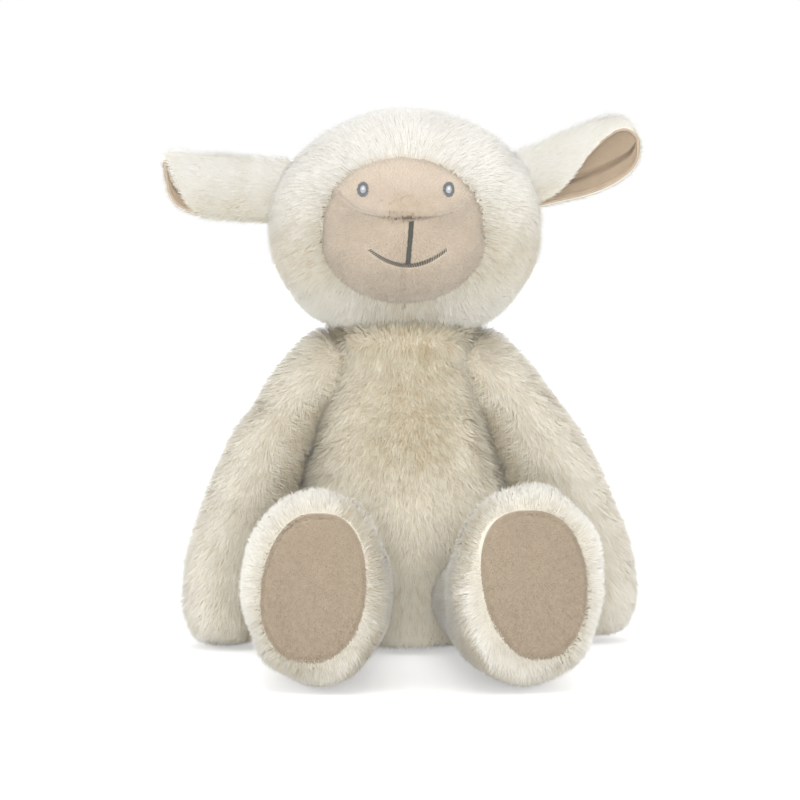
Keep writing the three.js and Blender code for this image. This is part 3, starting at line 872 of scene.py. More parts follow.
def dress(
    obj: bpy.types.Object, material: bpy.types.Material, body: str, slot: str, *nodes: str
) -> bpy.types.Object:
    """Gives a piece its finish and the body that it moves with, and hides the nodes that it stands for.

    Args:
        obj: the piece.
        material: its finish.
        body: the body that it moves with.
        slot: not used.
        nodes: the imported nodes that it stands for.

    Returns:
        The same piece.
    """
    obj.data.materials.append(material)
    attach(obj, body)
    if nodes:
        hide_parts(*nodes)
    LOG.info("%s: %d faces on %s", obj.name, len(obj.data.polygons), body)
    return obj


class Nodes:
    """A material's node tree with short calls for the nodes that the finishes use."""

    def __init__(self, name: str, roughness: float, sheen: float) -> None:
        """Starts a material with a shader of constant roughness and sheen.

        Args:
            name: the material's name.
            roughness: the shader's roughness.
            sheen: the shader's sheen.
        """
        self.material = bpy.data.materials.new(name)
        self.material.use_nodes = True
        self.tree = self.material.node_tree
        self.shader = self.tree.nodes["Principled BSDF"]
        self.set(self.shader, "Roughness", roughness)
        self.set(self.shader, "Sheen Weight", sheen)
        self.set(self.shader, "Sheen Roughness", CLOTH_SHEEN_ROUGHNESS)
        self.set(self.shader, "Specular IOR Level", CLOTH_SPECULAR)

    @staticmethod
    def set(node: bpy.types.Node, socket: str, value: float) -> None:
        """Sets a constant on a socket."""
        node.inputs[socket].default_value = value

    def add(self, kind: str, **values: float) -> bpy.types.Node:
        """Adds a node and sets its properties.

        Args:
            kind: the node's type.

        Returns:
            The node.
        """
        node = self.tree.nodes.new(kind)
        for key, value in values.items():
            setattr(node, key, value)
        return node

    def link(self, start: Output, end: Output) -> None:
        """Joins two sockets."""
        self.tree.links.new(start, end)

    def place(self) -> Output:
        """Object coordinates."""
        return self.add("ShaderNodeTexCoord").outputs["Object"]

    def noise(self, scale: float, detail: float = 3.0) -> Output:
        """Noise over the object, scale in waves per metre.

        Args:
            scale: waves per metre.
            detail: number of finer layers.

        Returns:
            The noise's value.
        """
        node = self.add("ShaderNodeTexNoise")
        self.set(node, "Scale", scale)
        self.set(node, "Detail", detail)
        self.link(self.place(), node.inputs["Vector"])
        return node.outputs["Fac"]

    def ramp(self, source: Output, *stops: tuple[float, tuple]) -> Output:
        """A colour ramp over a value, with stops of place and colour.

        Args:
            source: the value.
            stops: pairs of a place and a colour.

        Returns:
            The colour.
        """
        node = self.add("ShaderNodeValToRGB")
        elements = node.color_ramp.elements
        while len(elements) < len(stops):
            elements.new(0.5)
        for element, (place, colour) in zip(elements, stops):
            element.position = place
            element.color = (*colour, 1.0)
        self.link(source, node.inputs["Fac"])
        return node.outputs["Color"]

    def times(self, first: Output, second: Output) -> Output:
        """Two colours multiplied.

        Args:
            first: one colour.
            second: the other colour.

        Returns:
            The product.
        """
        node = self.add("ShaderNodeMix", data_type="RGBA", blend_type="MULTIPLY")
        node.inputs["Factor"].default_value = 1.0
        colours = [socket for socket in node.inputs if socket.type == "RGBA"]
        self.link(first, colours[0])
        self.link(second, colours[1])
        return next(socket for socket in node.outputs if socket.type == "RGBA")

    def bump(self, height: Output, strength: float, distance: float) -> None:
        """Bumps the shader's normal by a height, distance in metres.

        Args:
            height: the value that stands for height.
            strength: how much of the bump is used.
            distance: the bump's height in metres.
        """
        node = self.add("ShaderNodeBump")
        self.set(node, "Strength", strength)
        self.set(node, "Distance", distance)
        self.link(height, node.inputs["Height"])
        self.link(node.outputs["Normal"], self.shader.inputs["Normal"])

    def colour(self, source: Output) -> None:
        """Uses a colour as the shader's base colour."""
        self.link(source, self.shader.inputs["Base Color"])


def shade(colour: Colour, factor: float) -> Colour:
    """A colour made lighter or darker, at most white."""
    return tuple(min(1.0, part * factor) for part in colour)


@dataclass(frozen=True)
class PileFinish:
    """Fibres whose colour goes from root to tip and differs from one to the next.

    A fibre's tone goes from the crease's colour over the dark one to plain, or where there is no
    dark colour, over a small spread. Where a piece sets its fibres' tones by place, the crease and
    dark colours are painted shade, mixed with tone that differs at random.
    """

    name: str
    root: Colour
    tip: Colour
    spread: float = 0.08
    roughness: float = 0.8
    sheen: float = 0.5
    # dark and crease: the colours of painted shade, where a piece darkens its fibres' tones by place
    dark: Colour | None = None
    crease: Colour = (0.66, 0.54, 0.38)
    warm: Colour = (1.0, 0.99, 0.97)
    middle_place: float = 0.45
    tip_place: float = 0.9
    dark_place: float = 0.14
    plain_place: float = 0.95
    plain_spread_place: float = 0.6

    def make(self) -> bpy.types.Material:
        """The material, read from the ribbons' own map: U is the tone and V the place along.

        Returns:
            The material.
        """
        nodes = Nodes(self.name, self.roughness, self.sheen)
        own = nodes.add("ShaderNodeUVMap", uv_map=UV_NAME)
        parts = nodes.add("ShaderNodeSeparateXYZ")
        nodes.link(own.outputs["UV"], parts.inputs["Vector"])
        middle = tuple((a + b) / 2 for a, b in zip(self.root, self.tip))
        stops = ((0.0, self.root), (self.middle_place, middle), (self.tip_place, self.tip))
        along = nodes.ramp(parts.outputs["Y"], *stops)
        if self.dark is None:
            stops = ((0.0, (1 - self.spread,) * 3), (self.plain_spread_place, WHITE), (1.0, self.warm))
        else:
            stops = ((0.0, self.crease), (self.dark_place, self.dark), (self.plain_place, WHITE))
        nodes.colour(nodes.times(along, nodes.ramp(parts.outputs["X"], *stops)))
        return nodes.material


@dataclass(frozen=True)
class ClothFinish:
    """Woven or knitted cloth, mottled and with a fine grain."""

    name: str
    colour: Colour
    mottle: float = 0.08
    mottle_scale: float = 160.0
    grain_scale: float = 2600.0
    grain: float = 0.35
    roughness: float = 0.88
    sheen: float = 0.3
    grain_shade: float = 0.9
    grain_depth: float = 0.0004
    low_place: float = 0.3
    high_place: float = 0.7

    def make(self) -> bpy.types.Material:
        """The material, on object coordinates.

        Returns:
            The material.
        """
        nodes = Nodes(self.name, self.roughness, self.sheen)
        low, high = shade(self.colour, 1 - self.mottle), shade(self.colour, 1 + self.mottle)
        mottle, grain = nodes.noise(self.mottle_scale, 4.0), nodes.noise(self.grain_scale, 2.0)
        broad = nodes.ramp(mottle, (self.low_place, low), (self.high_place, high))
        fine = nodes.ramp(grain, (self.low_place, shade(WHITE, self.grain_shade)), (self.high_place, WHITE))
        nodes.colour(nodes.times(broad, fine))
        nodes.bump(grain, self.grain, self.grain_depth)
        return nodes.material


@dataclass(frozen=True)
class ThreadFinish:
    """Twisted embroidery thread with a soft gloss."""

    name: str
    colour: Colour
    roughness: float = 0.5
    sheen: float = 0.2
    dark_factor: float = 0.78
    light_factor: float = 1.12
    band_scale: float = 3200.0
    ply_scale: float = 5200.0
    ply: float = 0.3
    ply_depth: float = 0.0001

    def make(self) -> bpy.types.Material:
        """The material: fine bands of light and dark, as the plies of the thread.

        Returns:
            The material.
        """
        nodes = Nodes(self.name, self.roughness, self.sheen)
        low, high = shade(self.colour, self.dark_factor), shade(self.colour, self.light_factor)
        nodes.colour(nodes.ramp(nodes.noise(self.band_scale, 2.0), (0.35, low), (0.65, high)))
        nodes.bump(nodes.noise(self.ply_scale, 1.0), self.ply, self.ply_depth)
        return nodes.material


class Finishes:
    """Every finish of the sheep, made once."""

    def __init__(self) -> None:
        """Makes the materials."""
        self.head_pile = PileFinish(
            "head_plush_pile", root=(0.90, 0.84, 0.72), tip=(1.0, 0.995, 0.96), dark=(0.75, 0.715, 0.62)
        ).make()
        self.cream_pile = PileFinish(
            "cream_plush_pile", root=(0.88, 0.82, 0.69), tip=(0.98, 0.965, 0.90), dark=(0.64, 0.605, 0.53)
        ).make()
        self.body_pile = PileFinish(
            "body_plush_pile", root=(0.92, 0.79, 0.57), tip=(1.0, 0.972, 0.85), dark=(0.71, 0.675, 0.585)
        ).make()
        self.arm_pile = PileFinish(
            "arm_plush_pile", root=(0.91, 0.81, 0.62), tip=(1.0, 0.98, 0.90), dark=(0.75, 0.715, 0.63)
        ).make()
        # a dimmer copy of the white plush's pile: painted shade on the ears
        self.ear_pile = PileFinish(
            "ear_plush_pile", root=(0.87, 0.84, 0.75), tip=(0.92, 0.912, 0.885), dark=(0.86, 0.83, 0.73)
        ).make()
        self.sole_pile = PileFinish(
            "sole_velour_pile",
            root=(0.42, 0.335, 0.235),
            tip=(0.64, 0.53, 0.405),
            dark=(0.76, 0.74, 0.72),
            crease=(0.68, 0.65, 0.62),
        ).make()
        # a darker, greyer copy of the face's velour pile: painted shade on the muzzle
        self.muzzle_pile = PileFinish(
            "muzzle_velour_pile_shaded",
            root=(0.60, 0.505, 0.40),
            tip=(0.78, 0.69, 0.575),
            dark=(0.68, 0.655, 0.63),
            crease=(0.62, 0.58, 0.54),
        ).make()
        self.forehead_pile = PileFinish(
            "forehead_velour_pile", root=(0.72, 0.605, 0.49), tip=(0.84, 0.745, 0.635)
        ).make()
        self.lining_pile = PileFinish(
            "lining_velour_pile", root=(0.46, 0.35, 0.24), tip=(0.58, 0.455, 0.335), spread=0.1
        ).make()
        self.sole = ClothFinish("sole_velour_cloth", (0.54, 0.445, 0.335), 0.06, 220.0).make()
        self.lining = ClothFinish("lining_velour_cloth", (0.53, 0.42, 0.31), 0.06, 220.0).make()
        self.velour = ClothFinish("beige_velour_cloth", (0.69, 0.585, 0.46), 0.06, 220.0).make()
        self.white_backing = ClothFinish("white_plush_backing", (0.92, 0.88, 0.79), 0.04).make()
        self.cream_backing = ClothFinish("cream_plush_backing", (0.92, 0.87, 0.76), 0.04).make()
        self.filling = ClothFinish("fibre_filling", (0.86, 0.86, 0.85), 0.06, 90.0, 900.0, 0.8).make()
        self.bag = ClothFinish("pellet_bag_cloth", (0.60, 0.56, 0.48), 0.06, 140.0, 1800.0, 0.6).make()
        self.grey_thread = ThreadFinish("grey_embroidery_thread", (0.10, 0.10, 0.085)).make()
        self.eye_thread = ThreadFinish("eye_ring_thread", (0.17, 0.18, 0.19)).make()
        self.pale_thread = ThreadFinish("eye_middle_thread", (0.50, 0.51, 0.53)).make()
        self.white_thread = ThreadFinish("eye_glint_thread", (0.86, 0.87, 0.88)).make()
        self.cream_thread = ThreadFinish("cream_sewing_thread", (0.62, 0.54, 0.42)).make()


def split_fleece(fleece: Fleece, angle: Array, parts: int) -> list[Fleece]:
    """Splits roots into parts of one size by an angle, so that no piece has too many faces."""
    order = np.argsort(angle, kind="stable")
    return [fleece.kept(chosen) for chosen in np.array_split(order, parts)]


def grow_all(
    body: str,
    fleece: Fleece,
    angle: Array,
    parts: int,
    pile: Pile,
    seed: int,
    material: bpy.types.Material,
    slot: str,
) -> None:
    """Grows a body's fleece as one or more pieces.

    Args:
        body: the body they move with.
        fleece: the roots.
        angle: what the roots are split by.
        parts: how many pieces.
        pile: how the pile grows.
        seed: random seed.
        material: the pile's finish.
        slot: the record's material slot.
    """
    for number, part in enumerate(split_fleece(fleece, angle, parts)):
        label = f"{body}_pile" if parts == 1 else f"{body}_pile_{number + 1}"
        dress(part.grow(label, pile, seed), material, body, slot)


def even_fleece(grid: Grid, density: float, comb: Array, rng: np.random.Generator) -> Fleece:
    """Pile of one length that lies one way.

    Args:
        grid: the surface.
        density: roots per square millimetre.
        comb: the way that it lies.
        rng: random source.

    Returns:
        The fleece.
    """
    roots, normals = grid.roots(density, rng)
    return Fleece(roots, normals, np.broadcast_to(comb, roots.shape), np.ones(len(roots)))


def pressed(cloth: Grid, sockets: list[Socket]) -> Grid:
    """A surface with every dimple pushed in.

    Args:
        cloth: the cover without its pile.
        sockets: the dimples that other parts sit in.

    Returns:
        The surface with its dimples.
    """
    for socket in sockets:
        cloth = socket.press(cloth)
    return cloth


def add_cover(body: str, grid: Grid, material: bpy.types.Material, slot: str) -> bpy.types.Object:
    """The backing of a body's pile, which stands for the body's packed skin.

    Args:
        body: the body that it moves with.
        grid: the surface.
        material: its finish.
        slot: its material slot.

    Returns:
        The piece.
    """
    return dress(closed_tube(f"{body}_cover", grid), material, body, slot, f"{body}_skin")


def tube_along(path: Array, radius: float | Array, columns: int) -> Grid:
    """A round tube along a path, open at its ends; radius may differ from point to point.

    Args:
        path: points along the middle.
        radius: the tube's radius.
        columns: number of columns.

    Returns:
        The tube's surface.
    """
    ahead = unit(np.gradient(path, axis=0))
    side = unit(np.cross(ahead, np.array(TUBE_ASIDE)))
    rise = np.cross(ahead, side)
    angle = np.linspace(0, FULL_TURN, columns, endpoint=False)[None, :, None]
    size = np.asarray(radius, float).reshape(-1, 1, 1)
    ring = side[:, None] * np.cos(angle) + rise[:, None] * np.sin(angle)
    return Grid(path[:, None] + ring * size)


def many_tubes(name: str, paths: Array, radius: float, columns: int = 6) -> bpy.types.Object:
    """Many short round stitches as one mesh, each with thin ends that a small face closes.

    Args:
        name: the piece's name.
        paths: (n, steps, 3) middle lines.
        radius: the thread's radius at the middle of a stitch.
        columns: sides of a stitch.

    Returns:
        The piece.
    """
    count, steps = paths.shape[:2]
    ahead = unit(np.gradient(paths, axis=1))
    side = unit(np.cross(ahead, np.array(STITCH_ASIDE)))
    rise = np.cross(ahead, side)
    angle = np.linspace(0, FULL_TURN, columns, endpoint=False)
    place = np.linspace(-1, 1, steps)
    furthest, least = STITCH_ENDS
    size = radius * np.sqrt(np.clip(furthest - place**4, least, 1))
    cos, sin = (part(angle)[None, None, :, None] for part in (np.cos, np.sin))
    ring = side[:, :, None] * cos + rise[:, :, None] * sin
    points = paths[:, :, None] + ring * size[None, :, None, None]
    one = grid_faces(steps, columns, True)
    last = (steps - 1) * columns
    column = np.arange(columns)
    caps = [column[::-1][None, :], (last + column)[None, :]]
    base = (np.arange(count) * steps * columns)[:, None, None]
    groups = [(base + group[None]).reshape(-1, group.shape[1]) for group in [one, *caps]]
    return put_mesh(name, points.reshape(-1, 3), groups)


def thread_ring(name: str, middle: Array, normal: Array, radius: float, thread: float) -> bpy.types.Object:
    """A loop of two-ply thread: a closed circle with two strands wound round it.

    Args:
        name: the piece's name.
        middle: the loop's middle.
        normal: the loop's axis.
        radius: the loop's radius.
        thread: the whole thread's radius.

    Returns:
        The piece.
    """
    axis = unit(normal.astype(float))
    first = unit(np.cross(axis, np.array(RING_ASIDE)))
    second = np.cross(axis, first)
    around = np.linspace(0, FULL_TURN, RING_STEPS, endpoint=False)[:, None]
    angle = np.linspace(0, FULL_TURN, RING_SIDES, endpoint=False)[None, :, None]
    out = first * np.cos(around) + second * np.sin(around)
    faces, points = [], []
    for strand in range(2):
        twist = around * RING_TURNS + strand * math.pi
        path = middle + out * (radius + thread / 2 * np.cos(twist)) + axis * (thread / 2 * np.sin(twist))
        ahead = unit(np.roll(path, -1, axis=0) - np.roll(path, 1, axis=0))
        side = unit(np.cross(ahead, axis))
        rise = np.cross(ahead, side)
        ring = side[:, None] * np.cos(angle) + rise[:, None] * np.sin(angle)
        points.append((path[:, None] + ring * (thread / 2)).reshape(-1, 3))
        number = np.arange(RING_STEPS * RING_SIDES).reshape(RING_STEPS, RING_SIDES)
        number = number + strand * number.size
        after = np.roll(number, -1, axis=0)
        quads = [number, np.roll(number, -1, axis=1), np.roll(after, -1, axis=1), after]
        faces.append(np.stack([quad.ravel() for quad in quads], axis=1))
    return put_mesh(name, np.concatenate(points), [np.concatenate(faces)])


def add_filling(body: str, cloth: Grid, sockets: list[Socket], seed: int, finishes: Finishes) -> None:
    """A body's stuffing: the cloth's surface moved in by a depth and by smooth random lumps.

    Args:
        body: the body that it moves with.
        cloth: the cover's surface before its dimples.
        sockets: the dimples.
        seed: picks the lumps.
        finishes: all the finishes.
    """
    flat = cloth.points.reshape(-1, 3)
    lump = wander(flat, LUMP_SIZE, seed)[:, 0].reshape(cloth.points.shape[:2])
    grid = cloth.moved(-FILLING_DEPTH - LUMP_HEIGHT * (0.5 + 0.5 * lump))
    grid = pressed(grid, [socket.grown(FILLING_DEPTH) for socket in sockets])
    dress(closed_tube(f"{body}_filling", grid), finishes.filling, body, "filling", f"{body}_stuffing")


def add_seam(joint: str, axis: str, finishes: Finishes) -> None:
    """A thread loop of two plies in the space of a joint's packed ring, which lies across an axis.

    Args:
        joint: the joint's body, whose name the ring and the thread take.
        axis: the axis that the ring lies across.
        finishes: all the finishes.
    """
    node = f"{joint}_seam"
    low, high = (np.array(corner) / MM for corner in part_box(node))
    number = "xyz".index(axis)
    normal = np.zeros(3)
    normal[number] = 1.0
    thread = (high - low)[number] / 2
    radius = max(np.delete(high - low, number)) / 2 - thread
    ring = thread_ring(f"{joint}_thread", (low + high) / 2, normal, radius, thread)
    dress(ring, finishes.cream_thread, joint, "cream_thread", node)


class Limb:
    """What arms and legs share: a side and a round root that sits in a dimple of the body."""

    side: Side
    pivot: tuple
    ball: float
    socket_gap: float

    def middle(self) -> tuple[float, float, float]:
        """The pivot on this limb's side."""
        return (self.side.value * self.pivot[0], self.pivot[1], self.pivot[2])

    def socket(self) -> Socket:
        """The dimple in the body that the root sits in."""
        return Socket(self.middle(), self.ball + self.socket_gap)


@dataclass
class Torso:
    """The pear-shaped body with its neck bump, sockets, filling and bag of pellets."""

    bag_opening: float = 0.06  # the angle left open at the bag's top
    half_width: float = 55.0
    front_depth: float = 51.0
    back_depth: float = 46.5
    height: float = 140.0
    rest_depth: float = 0.5
    pile_depth: float = 3.8
    ring_shares: tuple = (
        (0.0, 0.62, 0.59, 0.52),
        (0.05, 0.85, 0.79, 0.78),
        (0.14, 0.97, 0.885, 0.925),
        (0.26, 1.0, 0.95, 0.99),
        (0.42, 0.96, 1.0, 0.995),
        (0.58, 0.87, 0.975, 0.945),
        (0.73, 0.775, 0.905, 0.85),
        (0.88, 0.685, 0.765, 0.76),
        (0.965, 0.635, 0.7, 0.68),
    )
    neck_rings: tuple = (
        (143.0, 35.0, 37.5, 33.0),
        (151.0, 33.5, 35.5, 31.0),
        (157.0, 28.5, 29.0, 28.0),
        (162.0, 21.5, 21.5, 21.5),
        (165.5, 13.0, 13.0, 13.0),
    )
    top: float = 168.0
    neck_ball: float = 45.0
    neck_pivot: tuple = (0.0, 0.0, 124.0)
    neck_seam_radius: float = 14.0
    thread_radius: float = 0.7
    lump: float = 0.6
    lump_size: float = 30.0
    lowest_ring_lift: float = 0.9
    socket_reach: float = 7.0  # how far into a socket the pile still grows
    underside: Step = Step(0.5, 1.0)
    underside_loss: float = 0.45
    outward_comb: float = 0.35
    collar: Step = Step(139.0, 149.0)
    collar_sides: Step = Step(14.0, 30.0)
    collar_loss: float = 0.8
    collar_comb: tuple = (0.0, -0.2, 0.7)
    collar_lean: float = 0.6
    chest: Step = Step(66.0, 96.0)
    chest_middle: Hill = Hill(4.0, 18.0)
    chest_front: Step = Step(-5.0, 15.0)
    flank: Step = Step(14.0, 26.0)
    fold_turn: Step = Step(0.82, 0.96)
    fold_low: Step = Step(30.0, 50.0)
    fold_high: Step = Step(105.0, 120.0)
    # tones of the pile: painted shade on the chest under the head, more in its front middle, and in the folds
    # beside the arms; painted light on the chest's flanks
    plain_tone: float = 0.97
    chest_painted_shade: float = 0.42
    middle_painted_shade: float = 0.26
    flank_painted_shading: float = 0.25
    fold_painted_shade: float = 0.3
    bag_half_width: float = 31.0
    bag_half_depth: float = 18.0
    bag_height: float = 24.0
    bag_middle: tuple = (0.0, 3.0, 4.6)
    bag_low_angle: float = -0.45
    bag_lift: float = 2.2

    def surface(self) -> Grid:
        """The outer surface of the pile, from the ring table.

        Returns:
            The surface.
        """
        table = np.array(self.ring_shares)
        along = -self.rest_depth + (self.height + self.rest_depth) * table[:, 0]
        zero = np.zeros(len(table))
        sizes = table[:, 1:] * np.array([self.half_width, self.front_depth, self.back_depth])
        rings = np.column_stack([along, zero, zero, sizes])
        rings[0, 0] += self.lowest_ring_lift
        bump = np.array([(height, 0.0, 0.0, *sizes) for height, *sizes in self.neck_rings])
        return Grid(loft(np.vstack([rings, bump]), 0.0, self.top, *BODY_GRID))

    def holds(self, points: Array, inset: float) -> Array:
        """Which points are inside the body: a ring's oval at the point's height, less an inset.

        Args:
            points: places, one per row.
            inset: how far inside the surface counts as inside.

        Returns:
            True for each point inside.
        """
        table = self.surface().points
        height = table[:, 0, 2]
        half = np.abs(table[..., 0]).max(axis=1)
        front = -table[..., 1].min(axis=1)
        back = table[..., 1].max(axis=1)
        x, y, z = points.T
        wide = np.maximum(np.interp(z, height, half, right=0.0) - inset, NEARLY_NOTHING)
        deep = np.where(y < 0, np.interp(z, height, front), np.interp(z, height, back))
        deep = np.maximum(deep - inset, NEARLY_NOTHING)
        return (x / wide) ** 2 + (y / deep) ** 2 < 1

    def fleece(self, cloth: Grid, sockets: list[Socket]) -> Fleece:
        """The pile's roots: it lies downwards, and stands up as a collar under the chin.

        Args:
            cloth: the cover without its pile.
            sockets: the dimples that other parts sit in.

        Returns:
            The fleece.
        """
        roots, normals = cloth.roots(PLUSH_TORSO.density, np.random.default_rng(Seed.BODY_ROOTS))
        keep = roots[:, 2] < self.neck_rings[2][0]
        for socket in sockets:
            keep &= ~socket.holds(roots, -self.socket_reach)
        roots, normals = roots[keep], normals[keep]
        down = np.array(DOWN) + self.outward_comb * unit(roots * np.array(LEVEL))
        share = 1 - self.underside_loss * self.underside.of(-normals[:, 2])
        collar = self.collar.of(roots[:, 2]) * (roots[:, 1] < 0)
        chance = collar * (1 - self.collar_loss * self.collar_sides.of(np.abs(roots[:, 0])))
        rising = np.random.default_rng(Seed.BODY_RISING).random(len(roots)) < chance
        comb = np.where(rising[:, None], np.array(self.collar_comb), down)
        fleece = Fleece(roots, normals, comb, share, 1 - self.collar_lean * collar)
        fleece.light = self.light(roots, normals)
        return fleece

    def light(self, roots: Array, normals: Array) -> Array:
        """Tones of the pile, with painted shade: the chest under the head, its front middle and the folds
        beside the arms are darker than the belly, and painted light lifts the chest's flanks.

        Args:
            roots: the fibres' roots.
            normals: the surface's normals at the roots.

        Returns:
            One tone per root.
        """
        x, y, z = roots.T
        chest = self.chest.of(z)
        middle = self.chest_middle.of(x) * chest * self.chest_front.of(-y)
        flank = self.flank.of(np.abs(x))
        fold = self.fold_turn.of(np.abs(normals[:, 0])) * self.fold_low.of(z) * (1 - self.fold_high.of(z))
        tone = self.plain_tone - self.chest_painted_shade * chest - self.middle_painted_shade * middle
        return (tone + self.flank_painted_shading * flank * chest) * (1 - self.fold_painted_shade * fold)

    def build(self, finishes: Finishes, sockets: list[Socket]) -> None:
        """Makes the cover, its pile, the filling, the bag and the neck seam.

        Args:
            finishes: all the finishes.
            sockets: the dimples that other parts sit in.
        """
        cloth = self.surface().lumpy(self.lump, self.lump_size, Seed.BODY_LUMPS).moved(-self.pile_depth)
        cover = add_cover("body", pressed(cloth, sockets), finishes.cream_backing, "cream_plush")
        fleece = self.fleece(cloth, sockets)
        angle = np.arctan2(fleece.roots[:, 0], fleece.roots[:, 1])
        grow_all("body", fleece, angle, 3, PLUSH_TORSO, Seed.BODY_PILE, finishes.body_pile, "cream_plush")
        add_filling("body", cloth, sockets, Seed.BODY_FILLING, finishes)
        self.build_bag(finishes)
        middle = np.array(self.neck_pivot) + self.seam_offset()
        ring = thread_ring("neck_thread", middle, -np.array(DOWN), self.neck_seam_radius, self.thread_radius)
        dress(ring, finishes.cream_thread, "neck", "cream_thread", "neck_seam")

    def neck_socket(self) -> Socket:
        """The dimple under the head that the rounded neck turns in."""
        return Socket(self.neck_pivot, self.neck_ball)

    def seam_offset(self) -> Array:
        """From the neck's pivot to the middle of its seam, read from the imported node's box.

        Returns:
            The offset.
        """
        low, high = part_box("neck_seam")
        middle = (np.array(low) + np.array(high)) / 2 / MM
        return np.array([0.0, 0.0, middle[2] - self.neck_pivot[2]])

    def build_bag(self, finishes: Finishes) -> None:
        """A bag like a low dome: its height is the sine and its width the cosine of one angle.

        Args:
            finishes: all the finishes.
        """
        rows, columns = BAG_GRID
        rise = np.linspace(self.bag_low_angle, math.pi / 2 - self.bag_opening, rows)[:, None]
        angle = np.linspace(0, FULL_TURN, columns, endpoint=False)[None, :]
        lowest = math.sin(self.bag_low_angle)
        lift = (np.sin(rise) - lowest) / (1 - lowest)
        x = self.bag_middle[0] + self.bag_half_width * np.cos(rise) * np.cos(angle)
        y = self.bag_middle[1] + self.bag_half_depth * np.cos(rise) * np.sin(angle)
        z = self.bag_middle[2] + self.bag_lift + (self.bag_height - self.bag_lift) * lift + 0 * angle
        bag = closed_tube("seat_pellet_bag", Grid(np.stack([x, y, z], axis=-1)))
        dress(bag, finishes.bag, "body", "bag_cloth", "pellet_bag")


@dataclass
class Head:
    """The wide round head with its pile and filling."""

    half_width: float = 63.5
    front_depth: float = 56.0
    back_depth: float = 54.0
    centre: float = 198.0
    upper_half: float = 52.5
    lower_half: float = 52.0
    lower_power: float = 2.35
    flat_side: float = 1.3
    flat_across: Step = Step(5.0, 35.0)
    flat_from: Step = Step(200.0, 230.0)
    pile_depth: float = 3.6
    rim_overlap: float = 0.3  # how far inside the face's rim the pile starts
    socket_reach: float = 1.5
    front: Step = Step(-20.0, 25.0)
    down_comb: tuple = (0.0, 0.35, -1.0)
    down_weight: float = 1.15
    sink: float = 0.35
    rim_near: Step = Step(0.0, 7.0)
    inward_chance: float = 0.72
    inward_slope: float = 0.6  # fibres lie inwards only where the cloth isn't square to that way
    inward_length: float = 0.62
    rim_loss: float = 0.2
    rim_lean: float = 0.5
    underside: Step = Step(0.2, 0.7)
    underside_end: Step = Step(158.0, 172.0)
    underside_gain: float = 0.2
    underside_lean: float = 0.35
    behind: Step = Step(4.0, 26.0)
    behind_lean: float = 0.3
    cheek: Hill = Hill(183.0, 26.0)
    cheek_front: Step = Step(-30.0, 10.0)
    chin: Hill = Hill(0.0, 16.0)
    chin_end: Step = Step(158.0, 170.0)
    # tones of the pile: painted shade beside the face's lower half and under the chin
    plain_tone: float = 0.90
    cheek_painted_shade: float = 0.72
    chin_painted_shade: float = 0.6
    lowest_tone: float = 0.18

    def surface(self) -> Grid:
        """The outer surface of the pile: rings whose size is a power of the cosine of latitude.

        Returns:
            The surface.
        """
        rows, columns = HEAD_GRID
        rise = np.linspace(-math.pi / 2 + POLE_GAP, math.pi / 2 - POLE_GAP, rows)[:, None]
        power = np.where(rise < 0, self.lower_power, 2.0)
        half = np.where(rise < 0, self.lower_half, self.upper_half)
        along = self.centre + half * np.sign(rise) * np.abs(np.sin(rise)) ** (2 / power)
        share = np.cos(rise) ** (2 / power)
        angle = np.linspace(0, FULL_TURN, columns, endpoint=False)[None, :]
        depth = np.where(np.sin(angle) < 0, self.front_depth, self.back_depth)
        x = self.half_width * share * np.cos(angle)
        y = depth * share * np.sin(angle)
        grid = Grid(np.stack([x, y, np.broadcast_to(along, x.shape)], axis=-1))
        return grid.moved(-self.flat_side * self.flat_across.of(-x) * self.flat_from.of(along))

    def share_at(self, height: Array) -> Array:
        """How large the head's ring is at a height, from 0 to 1.

        Args:
            height: heights of the places.

        Returns:
            The share of the largest ring.
        """
        rise = height - self.centre
        half = np.where(rise > 0, self.upper_half, self.lower_half)
        power = np.where(rise > 0, 2.0, self.lower_power)
        return np.maximum(0.0, 1 - np.abs(rise / half) ** power) ** (1 / power)

    def fleece(self, base: Grid, sockets: list[Socket], face: "Face") -> Fleece:
        """The pile's roots: it fans out from the face, and lies downwards further back.

        Args:
            base: the cover.
            sockets: the dimples that other parts sit in.
            face: the face, whose rim the pile keeps to.

        Returns:
            The fleece.
        """
        roots, normals = base.roots(PLUSH_HEAD.density, np.random.default_rng(Seed.HEAD_ROOTS))
        rim, outward = face.rim_distance(roots)
        keep = ~((rim < -self.rim_overlap) & (roots[:, 1] < 0))
        for socket in sockets:
            keep &= ~socket.holds(roots, -self.socket_reach)
        roots, normals, rim, outward = roots[keep], normals[keep], rim[keep], outward[keep]
        front = self.front.of(-roots[:, 1])[:, None]
        comb = outward * front + np.array(self.down_comb) * (self.down_weight - front)
        comb = comb + np.array(DOWN) * self.sink
        near = np.where(roots[:, 1] < 0, 1 - self.rim_near.of(rim), 0.0)
        inward = near * np.random.default_rng(Seed.HEAD_INWARD).random(len(roots)) > self.inward_chance
        inward &= np.abs((outward * normals).sum(axis=1)) < self.inward_slope
        comb = np.where(inward[:, None], -outward, comb)
        under = self.underside.of(-normals[:, 2]) * (1 - self.underside_end.of(roots[:, 2]))
        share = (1 - self.rim_loss * near) * np.where(inward, self.inward_length, 1.0)
        lean = (1 - self.rim_lean * near) * (1 - self.underside_lean * under)
        lean = lean * (1 + self.behind_lean * self.behind.of(roots[:, 1]))
        share = share * (1 + self.underside_gain * under)
        return Fleece(roots, normals, comb, share, lean, self.light(roots))

    def light(self, roots: Array) -> Array:
        """Tones of the pile, with painted shade: darker beside the face's lower half and under the chin.

        Args:
            roots: the fibres' roots.

        Returns:
            One tone per root.
        """
        x, y, z = roots.T
        cheek = self.cheek.of(z) * self.cheek_front.of(-y)
        chin = self.chin.of(x) * (1 - self.chin_end.of(z)) * (y < 0)
        return np.maximum(self.plain_tone - self.cheek_painted_shade * cheek - self.chin_painted_shade * chin, self.lowest_tone)

